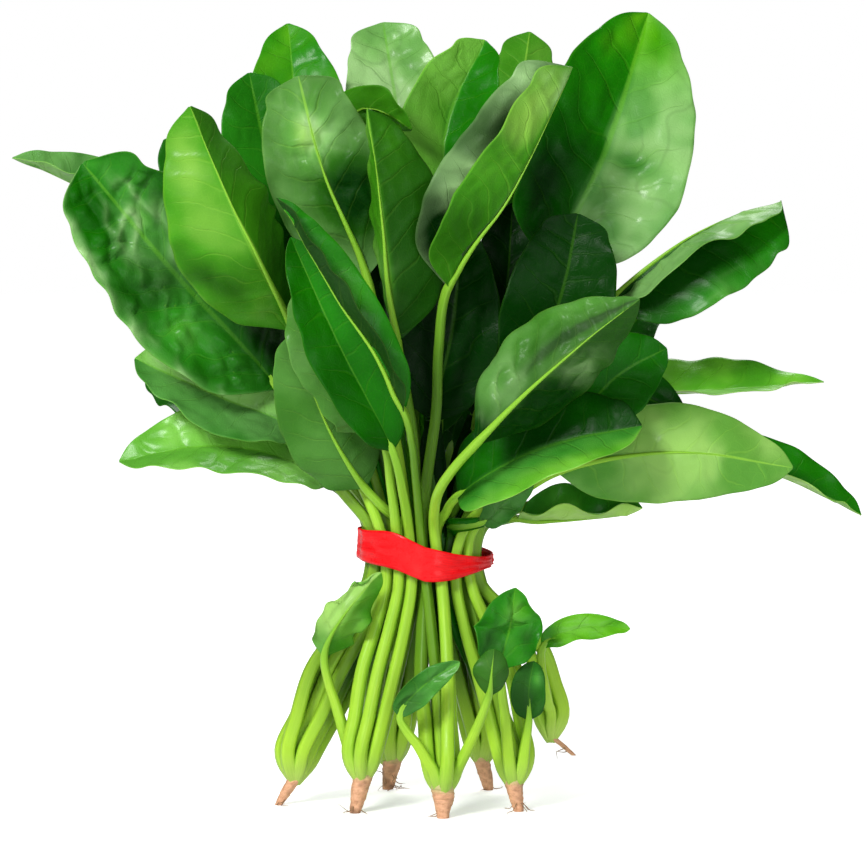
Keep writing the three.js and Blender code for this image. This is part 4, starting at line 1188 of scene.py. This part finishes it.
class BandLook(bpy.types.PropertyGroup):
    thickness: FloatProperty(
        name="Thickness", description="Thickness of the strip",
        default=0.7 * MM, unit="LENGTH"
    )
    height: FloatProperty(
        name="Height", description="Width of the strip",
        default=12.5 * MM, unit="LENGTH"
    )
    raised: FloatProperty(
        name="Raised", description="How far the front rides up on its left",
        default=2.7 * MM, unit="LENGTH"
    )
    swell: FloatProperty(
        name="Swell", description="How much wider it is at the front", default=2 * MM, unit="LENGTH"
    )
    pinched: FloatProperty(
        name="Pinched", description="Its width where it is drawn in",
        default=5 * MM, unit="LENGTH"
    )
    crease: FloatProperty(
        name="Crease", description="Depth of its creases",
        default=0.45 * MM, unit="LENGTH"
    )
    band_dark: FloatVectorProperty(
        name="Dark", description="The strip in its creases", default=(0.7, 0.003, 0.006), subtype="COLOR"
    )
    band_bright: FloatVectorProperty(
        name="Bright", description="The strip's own red", default=(0.96, 0.006, 0.01), subtype="COLOR"
    )
    band_pale: FloatVectorProperty(
        name="Pale", description="Where the strip is stretched thin",
        default=(1.0, 0.07, 0.06), subtype="COLOR"
    )


class StageLook(bpy.types.PropertyGroup):
    distance: FloatProperty(
        name="Distance", description="From the camera to the bunch",
        default=1.6, unit="LENGTH"
    )
    elevation: FloatProperty(
        name="Elevation", description="How far the camera looks down",
        default=math.radians(4), subtype="ANGLE"
    )
    view_width: FloatProperty(
        name="View width", description="Width seen at the bunch's middle",
        default=368.5 * MM, unit="LENGTH"
    )
    floor_glow: FloatProperty(
        name="Floor glow", description="Light from below a white floor, so that it shows as white",
        default=0.8
    )
    near_glow: FloatProperty(
        name="Near glow", description="The same under the bunch, where its shadow lies", default=0.48
    )
    floor_colour: FloatVectorProperty(
        name="Floor", description="Colour of the floor", default=(0.9, 0.9, 0.9), subtype="COLOR"
    )


# Operators


CROWN_NODES = sorted(node for node in frame["nodes"] if node.endswith("_crown"))


def read_collars():
    """The middle of each plant's collar, where its root ends and its stalks start."""
    collars = []
    for node in CROWN_NODES:
        places, _, rings = rings_of(node)
        collars.append(places[rings[2]].mean(axis=0))
    return collars


def collar_of(leaf, collars):
    """The collar of the plant that a leaf stands on."""
    foot = leaf.centres[0]
    return min(collars, key=lambda collar: np.hypot(*(collar[:2] - foot[:2])))


class BUNCH_OT_leaves(bpy.types.Operator):
    """Builds every leaf's veined blade and grooved stalk"""

    bl_idname = "bunch.add_leaves"
    bl_label = "Leaves and stalks"

    def execute(self, context):
        look = context.scene.bunch_leaf
        groups = plant_groups()
        upper = leaf_face_material(
            look, groups, "leaf_upper", (look.upper_dark, look.upper_middling, look.upper_bright),
            look.upper_vein, rough=0.34, line_share=0.22, relief=0.7,
        )
        under = leaf_face_material(
            look, groups, "leaf_under", (look.under_dark, look.under_middling, look.under_bright),
            look.under_vein, rough=0.48, line_share=0.25, relief=0.5,
        )
        stalk = stalk_material(look, groups)
        collars = read_collars()
        nodes = sorted(n for n in frame["nodes"] if "leaf" in n)
        for seed, node in enumerate(nodes):
            leaf = LeafFrame(node)
            style = style_of(node)
            patches = Patchwork()
            rib = add_blade(patches, leaf, look, style, seed * 17 + 5)
            add_stalk(patches, leaf, look, style["stalk"], collar_of(leaf, collars), *rib)
            if style["wing"]:
                add_wings(patches, leaf, look, style["wing"], style["tones"][0])
            piece = patches.to_object(f"fine_{node}", [upper, under, stalk])
            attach(piece, "root")
            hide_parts(node)
        return {"FINISHED"}


def root_mesh(node, material, seed):
    """A taproot from its cut end to just inside the foot of its stalks."""
    places, _, rings = rings_of(node)
    centres = np.array([places[ring].mean(axis=0) for ring in rings[:4]])
    spokes = [places[ring] - centre for ring, centre in zip(rings[:3], centres)]
    radii = np.array([np.linalg.norm(spoke, axis=1).mean() for spoke in spokes])
    top = centres[2] + (centres[3] - centres[2]) * 1.4
    knots = np.array([0, 0.45, 1, 1.35])
    spine = np.array([centres[0], centres[1], centres[2], top])
    size = np.array([radii[0], radii[1], radii[2], radii[2] * 0.9])
    steps, sides = ROOT_STEPS, ROOT_SIDES
    at = np.linspace(0, knots[-1], steps)
    way = run_through(knots, spine, at)
    way[:, 2] = np.maximum(way[:, 2], centres[0][2])
    r = np.interp(at, knots, size)
    turn = np.linspace(0, 2 * math.pi, sides, endpoint=False)
    around, along = np.meshgrid(turn, at)
    rings_noise = soft_noise(along * 13 + seed, 0.6 * np.cos(around) + 10, seed)
    lumps = soft_noise(2 + 1.6 * np.cos(around), along * 3 + 1.6 * np.sin(around) + 8, seed + 1)
    ease = np.clip(along / 0.08, 0, 1)
    wide = r[:, None] * (1 + ease * (0.14 * (rings_noise - 0.5) + 0.22 * (lumps - 0.5)))
    spots = np.stack(
        [way[:, None, 0] + wide * np.cos(around), way[:, None, 1] + wide * np.sin(around),
         way[:, None, 2] + 0 * wide], axis=-1
    )
    patches = Patchwork()
    start = patches.add_spots(spots)
    quads, row, column = quads_between(start, steps, sides, wrap=True)
    flat = np.stack([column / sides * 3, at[row]], axis=-1)
    patches.add_quads(quads, 0, flat, flat)
    add_cap(patches, way[0], start, sides, False, 0, 0)
    add_cap(patches, way[-1], start + (steps - 1) * sides, sides, True, 0, 0)
    return patches.to_object(f"fine_{node}", [material])


class BUNCH_OT_crowns(bpy.types.Operator):
    """Builds the wrinkled taproots below the stalks"""

    bl_idname = "bunch.add_crowns"
    bl_label = "Taproots"

    def execute(self, context):
        material = root_material(context.scene.bunch_crown, plant_groups())
        for seed, node in enumerate(CROWN_NODES):
            piece = root_mesh(node, material, 300 + seed * 7)
            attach(piece, "root")
            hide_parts(node)
        return {"FINISHED"}


def rootlet_tree(material):
    """Geometry nodes: bent, tapering side roots on a taproot's skin."""
    tree = bpy.data.node_groups.new("Rootlets", "GeometryNodeTree")
    face = tree.interface
    face.new_socket("Geometry", in_out="INPUT", socket_type="NodeSocketGeometry")
    for label, kind, default in (
        ("Count", "NodeSocketInt", 9),
        ("Length", "NodeSocketFloat", 11 * MM),
        ("Radius", "NodeSocketFloat", 0.35 * MM),
        ("Seed", "NodeSocketInt", 1),
    ):
        face.new_socket(label, in_out="INPUT", socket_type=kind).default_value = default
    face.new_socket("Geometry", in_out="OUTPUT", socket_type="NodeSocketGeometry")
    wire = Wiring(tree)
    start = wire.node("NodeGroupInput")
    end = wire.node("NodeGroupOutput")
    points = wire.node("GeometryNodeDistributePointsOnFaces")
    points.inputs["Density"].default_value = 90000.0
    wire.join(start.outputs["Geometry"], points.inputs["Mesh"])
    wire.join(start.outputs["Seed"], points.inputs["Seed"])
    index = wire.node("GeometryNodeInputIndex")
    spare = wire.node("FunctionNodeCompare", data_type="INT", operation="GREATER_EQUAL")
    wire.join(index.outputs[0], spare.inputs["A"])
    wire.join(start.outputs["Count"], spare.inputs["B"])
    cut = wire.node("GeometryNodeDeleteGeometry", domain="POINT")
    wire.join(points.outputs["Points"], cut.inputs["Geometry"])
    wire.join(spare.outputs["Result"], cut.inputs["Selection"])
    line = wire.node("GeometryNodeCurvePrimitiveLine")
    line.inputs["Start"].default_value = (0, 0, 0)
    line.inputs["End"].default_value = (0, 0, 1)
    steps = wire.node("GeometryNodeResampleCurve")
    wire.join(line.outputs["Curve"], steps.inputs["Curve"])
    steps.inputs["Count"].default_value = 9
    place = wire.node("GeometryNodeInstanceOnPoints")
    wire.join(cut.outputs["Geometry"], place.inputs["Points"])
    wire.join(steps.outputs["Curve"], place.inputs["Instance"])
    wire.join(points.outputs["Rotation"], place.inputs["Rotation"])
    size = wire.node("FunctionNodeRandomValue", data_type="FLOAT")
    size.inputs["Min"].default_value = 0.35
    size.inputs["Max"].default_value = 1.0
    wire.join(start.outputs["Seed"], size.inputs["Seed"])
    reach = wire.node("ShaderNodeMath", operation="MULTIPLY")
    wire.join(size.outputs[1], reach.inputs[0])
    wire.join(start.outputs["Length"], reach.inputs[1])
    wire.join(reach.outputs[0], place.inputs["Scale"])
    real = wire.node("GeometryNodeRealizeInstances")
    wire.join(place.outputs["Instances"], real.inputs["Geometry"])
    share = wire.node("GeometryNodeSplineParameter")
    where = wire.node("GeometryNodeInputPosition")
    swirl = wire.node("ShaderNodeTexNoise")
    swirl.inputs["Scale"].default_value = 150.0
    swirl.inputs["Detail"].default_value = 1.0
    wire.join(where.outputs[0], swirl.inputs["Vector"])
    centred = wire.node("ShaderNodeVectorMath", operation="SUBTRACT")
    wire.join(swirl.outputs["Color"], centred.inputs[0])
    centred.inputs[1].default_value = (0.5, 0.5, 0.56)
    bend = wire.node("ShaderNodeVectorMath", operation="SCALE")
    wire.join(centred.outputs[0], bend.inputs[0])
    amount = wire.node("ShaderNodeMath", operation="MULTIPLY")
    wire.join(share.outputs["Factor"], amount.inputs[0])
    amount.inputs[1].default_value = 0.026
    wire.join(amount.outputs[0], bend.inputs["Scale"])
    moved = wire.node("GeometryNodeSetPosition")
    wire.join(real.outputs["Geometry"], moved.inputs["Geometry"])
    wire.join(bend.outputs[0], moved.inputs["Offset"])
    raised = wire.node("GeometryNodeSetPosition")
    parts = wire.node("ShaderNodeSeparateXYZ")
    wire.join(where.outputs[0], parts.inputs[0])
    floor = wire.node("ShaderNodeMath", operation="MAXIMUM")
    wire.join(parts.outputs["Z"], floor.inputs[0])
    floor.inputs[1].default_value = 0.5 * MM
    whole = wire.node("ShaderNodeCombineXYZ")
    wire.join(parts.outputs["X"], whole.inputs["X"])
    wire.join(parts.outputs["Y"], whole.inputs["Y"])
    wire.join(floor.outputs[0], whole.inputs["Z"])
    wire.join(moved.outputs["Geometry"], raised.inputs["Geometry"])
    wire.join(whole.outputs[0], raised.inputs["Position"])
    thin = wire.node("ShaderNodeMapRange")
    wire.join(share.outputs["Factor"], thin.inputs["Value"])
    thin.inputs["To Min"].default_value = 1.0
    thin.inputs["To Max"].default_value = 0.25
    girth = wire.node("ShaderNodeMath", operation="MULTIPLY")
    wire.join(thin.outputs["Result"], girth.inputs[0])
    wire.join(start.outputs["Radius"], girth.inputs[1])
    ring = wire.node("GeometryNodeCurvePrimitiveCircle")
    ring.inputs["Resolution"].default_value = 6
    ring.inputs["Radius"].default_value = 1.0
    tube = wire.node("GeometryNodeCurveToMesh")
    wire.join(raised.outputs["Geometry"], tube.inputs["Curve"])
    wire.join(ring.outputs["Curve"], tube.inputs["Profile Curve"])
    tube.inputs["Fill Caps"].default_value = True
    if "Scale" in tube.inputs:
        wire.join(girth.outputs[0], tube.inputs["Scale"])
    else:
        sized = wire.node("GeometryNodeSetCurveRadius")
        wire.join(raised.outputs["Geometry"], sized.inputs["Curve"])
        wire.join(girth.outputs[0], sized.inputs["Radius"])
        wire.join(sized.outputs["Curve"], tube.inputs["Curve"])
    done = wire.node("GeometryNodeRealizeInstances")
    wire.join(tube.outputs["Mesh"], done.inputs["Geometry"])
    paint = wire.node("GeometryNodeSetMaterial")
    paint.inputs["Material"].default_value = material
    wire.join(done.outputs["Geometry"], paint.inputs["Geometry"])
    wire.join(paint.outputs["Geometry"], end.inputs["Geometry"])
    return tree


def applied(piece, name, tree, **values):
    """The plain mesh object that a node tree makes from a piece."""
    modifier = piece.modifiers.new("build", "NODES")
    modifier.node_group = tree
    for item in tree.interface.items_tree:
        if item.item_type == "SOCKET" and item.in_out == "INPUT" and item.name in values:
            modifier[item.identifier] = values[item.name]
    evaluated = piece.evaluated_get(bpy.context.evaluated_depsgraph_get())
    mesh = bpy.data.meshes.new_from_object(evaluated)
    piece.modifiers.remove(modifier)
    mesh.name = name
    made = bpy.data.objects.new(name, mesh)
    bpy.context.scene.collection.objects.link(made)
    return made


class BUNCH_OT_rootlets(bpy.types.Operator):
    """Grows thin side roots on every taproot"""

    bl_idname = "bunch.add_rootlets"
    bl_label = "Side roots"

    def execute(self, context):
        look = context.scene.bunch_crown
        tree = rootlet_tree(rootlet_material(look, plant_groups()))
        for seed, node in enumerate(CROWN_NODES):
            count, longer = BUSHY_ROOTS.get(node, (look.rootlets, 1.0))
            piece = applied(
                bpy.data.objects[f"fine_{node}"], node.replace("crown", "rootlets"), tree,
                Count=count, Length=look.rootlet_length * longer, Radius=look.rootlet_radius,
                Seed=seed + 3,
            )
            if not piece.data.polygons:
                raise RuntimeError(f"no side roots grew on {node}")
            piece.data.polygons.foreach_set("use_smooth", [True] * len(piece.data.polygons))
            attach(piece, "root")
        return {"FINISHED"}


class BUNCH_OT_band(bpy.types.Operator):
    """Winds the creased red strip round the neck"""

    bl_idname = "bunch.add_band"
    bl_label = "Band"

    def execute(self, context):
        look = context.scene.bunch_band
        low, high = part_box("band")
        centre = (low + high) / 2
        half = (high - low) / 2
        steps, rows = BAND_STEPS, BAND_ROWS
        turn = np.linspace(0, 2 * math.pi, steps, endpoint=False)
        c, s = np.cos(turn), np.sin(turn)
        narrow = np.exp(-(((1 - c) / 0.45) ** 2))
        tall = look.height + look.swell * np.maximum(-s, 0) * (1 - narrow)
        tall -= (look.height - look.pinched) * narrow
        level = low.z + look.height / 2 + BAND_RISE["back"]
        sideways = np.where(c < 0, -BAND_RISE["left"], BAND_RISE["right"])
        middle = level + sideways * c + BAND_RISE["back"] * s
        middle -= 1.5 * MM * narrow
        front = np.sqrt(np.maximum(-s, 0))
        raised = look.raised * np.exp(-(((c + 0.5) / 0.4) ** 2)) * front
        lowered = look.raised * np.exp(-(((c - 0.45) / 0.3) ** 2)) * front
        tall += 0.45 * raised - 0.6 * lowered
        middle += 1.2 * raised - 0.3 * lowered
        across = np.linspace(-1, 1, rows)
        height_of, turn_of = np.meshgrid(across, turn, indexing="ij")
        fold = soft_noise(height_of * 3.2 + 5, turn_of * 2.2 + 3, 71)
        ridge = np.abs(2 * fold - 1)
        lumps = soft_noise(height_of * 0.4 + 9, turn_of * 4.5 + 1, 72)
        outward = look.crease * (1.4 * ridge - 0.7) + 0.9 * MM * (lumps - 0.6) + 0.25 * MM
        patches = Patchwork()
        sheets = []
        for inset in (0.0, look.thickness):
            rx = half.x - inset + outward - 0.45 * MM
            ry = half.y - inset + outward - 0.45 * MM
            up = middle + np.outer(across, tall / 2)
            spots = np.stack([centre.x + rx * c, centre.y + ry * s, up], axis=-1)
            sheets.append(patches.add_spots(np.swapaxes(spots, 0, 1)))
        around = lambda row: np.where(row > steps, 0, row) * 19.0 / steps
        for start, flip in zip(sheets, (False, True)):
            quads, row, column = quads_between(start, steps + 1, rows)
            quads = start + (row % steps) * rows + column
            flat = np.stack([around(row), column / rows * 1.25], axis=-1)
            if flip:
                quads, flat = quads[:, ::-1], flat[:, ::-1]
            patches.add_quads(quads[:, ::-1], 0, flat[:, ::-1], flat[:, ::-1])
        i = np.arange(steps)
        for j, flip in ((0, True), (rows - 1, False)):
            quads = np.stack(
                [sheets[0] + i * rows + j, sheets[0] + (i + 1) % steps * rows + j,
                 sheets[1] + (i + 1) % steps * rows + j, sheets[1] + i * rows + j], axis=1
            )
            zeros = np.zeros((steps, 4, 2))
            patches.add_quads(quads[:, ::-1] if flip else quads, 0, zeros, zeros)
        piece = patches.to_object("fine_band", [band_material(look, plant_groups())])
        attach(piece, "root")
        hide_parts("band")
        return {"FINISHED"}


def add_lamp(name, place, size, power):
    """A round soft lamp that looks at the bunch."""
    lamp = bpy.data.lights.new(name, "AREA")
    lamp.shape = "DISK"
    lamp.size = size
    lamp.energy = power
    made = bpy.data.objects.new(name, lamp)
    made.location = place
    made.rotation_euler = (AIM - Vector(place)).to_track_quat("-Z", "Y").to_euler()
    bpy.context.scene.collection.objects.link(made)


class BUNCH_OT_stage(bpy.types.Operator):
    """Sets the floor, the lights and the camera"""

    bl_idname = "bunch.add_stage"
    bl_label = "Stage and camera"

    def execute(self, context):
        look = context.scene.bunch_stage
        scene = context.scene
        mesh = bpy.data.meshes.new("floor")
        corners = [(x * FLOOR_REACH, y * FLOOR_REACH, 0) for x, y in ((-1, -1), (1, -1), (1, 1), (-1, 1))]
        mesh.from_pydata(corners, [], [(0, 1, 2, 3)])
        floor = bpy.data.objects.new("floor", mesh)
        scene.collection.objects.link(floor)
        material, wire, shader = new_material("floor")
        shader.inputs["Base Color"].default_value = colour(look.floor_colour)
        shader.inputs["Roughness"].default_value = 0.9
        glow = wire.node("ShaderNodeEmission")
        reach_out = wire.node("ShaderNodeVectorMath", operation="LENGTH")
        wire.join(wire.node("ShaderNodeTexCoord").outputs["Object"], reach_out.inputs[0])
        fill_in = wire.ramp(reach_out.outputs["Value"], 0.2, 1.8, look.near_glow, look.floor_glow)
        direct = wire.node("ShaderNodeLightPath").outputs["Is Camera Ray"]
        seen_only = wire.math("MULTIPLY", fill_in, direct)
        wire.join(seen_only, glow.inputs["Strength"])
        both = wire.node("ShaderNodeAddShader")
        wire.join(shader.outputs[0], both.inputs[0])
        wire.join(glow.outputs[0], both.inputs[1])
        wire.join(both.outputs[0], material.node_tree.nodes["Material Output"].inputs[0])
        mesh.materials.append(material)
        floor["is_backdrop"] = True

        world = bpy.data.worlds.new("studio")
        world.use_nodes = True
        scene.world = world
        wire = Wiring(world.node_tree)
        background = world.node_tree.nodes["Background"]
        background.inputs["Strength"].default_value = SKY_LIGHT
        seen = wire.node("ShaderNodeBackground")
        seen.inputs["Strength"].default_value = SKY_SEEN
        for shader in (background, seen):
            shader.inputs["Color"].default_value = (1, 1, 1, 1)
        mirrored = wire.node("ShaderNodeBackground")
        mirrored.inputs["Strength"].default_value = SKY_SHINE
        ray = wire.node("ShaderNodeLightPath")
        sky = background.outputs[0]
        for kind, shown in (("Is Glossy Ray", mirrored), ("Is Camera Ray", seen)):
            choice = wire.node("ShaderNodeMixShader")
            wire.join(ray.outputs[kind], choice.inputs[0])
            wire.join(sky, choice.inputs[1])
            wire.join(shown.outputs[0], choice.inputs[2])
            sky = choice.outputs[0]
        wire.join(sky, world.node_tree.nodes["World Output"].inputs[0])

        for name, (place, size, power) in LAMPS.items():
            add_lamp(name, place, size, power)
        scene.view_settings.view_transform = "Standard"

        camera = bpy.data.cameras.new("camera")
        camera.sensor_width = 36.0
        camera.lens = camera.sensor_width * look.distance / look.view_width
        holder = bpy.data.objects.new("camera", camera)
        back = Vector((0, -math.cos(look.elevation), math.sin(look.elevation)))
        holder.location = AIM + back * look.distance
        holder.rotation_euler = (-back).to_track_quat("-Z", "Y").to_euler()
        scene.collection.objects.link(holder)
        scene.camera = holder
        return {"FINISHED"}


class BUNCH_PT_panel(bpy.types.Panel):
    """The bunch's parts in the sidebar"""

    bl_idname = "BUNCH_PT_panel"
    bl_label = "Spinach bunch"
    bl_space_type = "VIEW_3D"
    bl_region_type = "UI"
    bl_category = "Bunch"

    def draw(self, context):
        column = self.layout.column()
        for operator in OPERATORS:
            column.operator(operator.bl_idname, text=operator.bl_label)


LOOKS = {
    "bunch_leaf": LeafLook,
    "bunch_crown": CrownLook,
    "bunch_band": BandLook,
    "bunch_stage": StageLook,
}
OPERATORS = (BUNCH_OT_stage, BUNCH_OT_crowns, BUNCH_OT_rootlets, BUNCH_OT_leaves, BUNCH_OT_band)


def register():
    for look in LOOKS.values():
        bpy.utils.register_class(look)
    for operator in OPERATORS:
        bpy.utils.register_class(operator)
    bpy.utils.register_class(BUNCH_PT_panel)
    for name, look in LOOKS.items():
        setattr(bpy.types.Scene, name, PointerProperty(type=look))


def unregister():
    for name in LOOKS:
        delattr(bpy.types.Scene, name)
    bpy.utils.unregister_class(BUNCH_PT_panel)
    for operator in reversed(OPERATORS):
        bpy.utils.unregister_class(operator)
    for look in reversed(list(LOOKS.values())):
        bpy.utils.unregister_class(look)


def main():
    """Builds the whole bunch with its operators."""
    register()
    bpy.ops.bunch.add_stage()
    bpy.ops.bunch.add_crowns()
    bpy.ops.bunch.add_rootlets()
    bpy.ops.bunch.add_leaves()
    bpy.ops.bunch.add_band()
    sizes = {
        "cad": [list(corner) for corner in CAD_BOX],
        "visual": [list(corner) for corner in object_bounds()],
    }


if __name__ == "__main__":
    main()
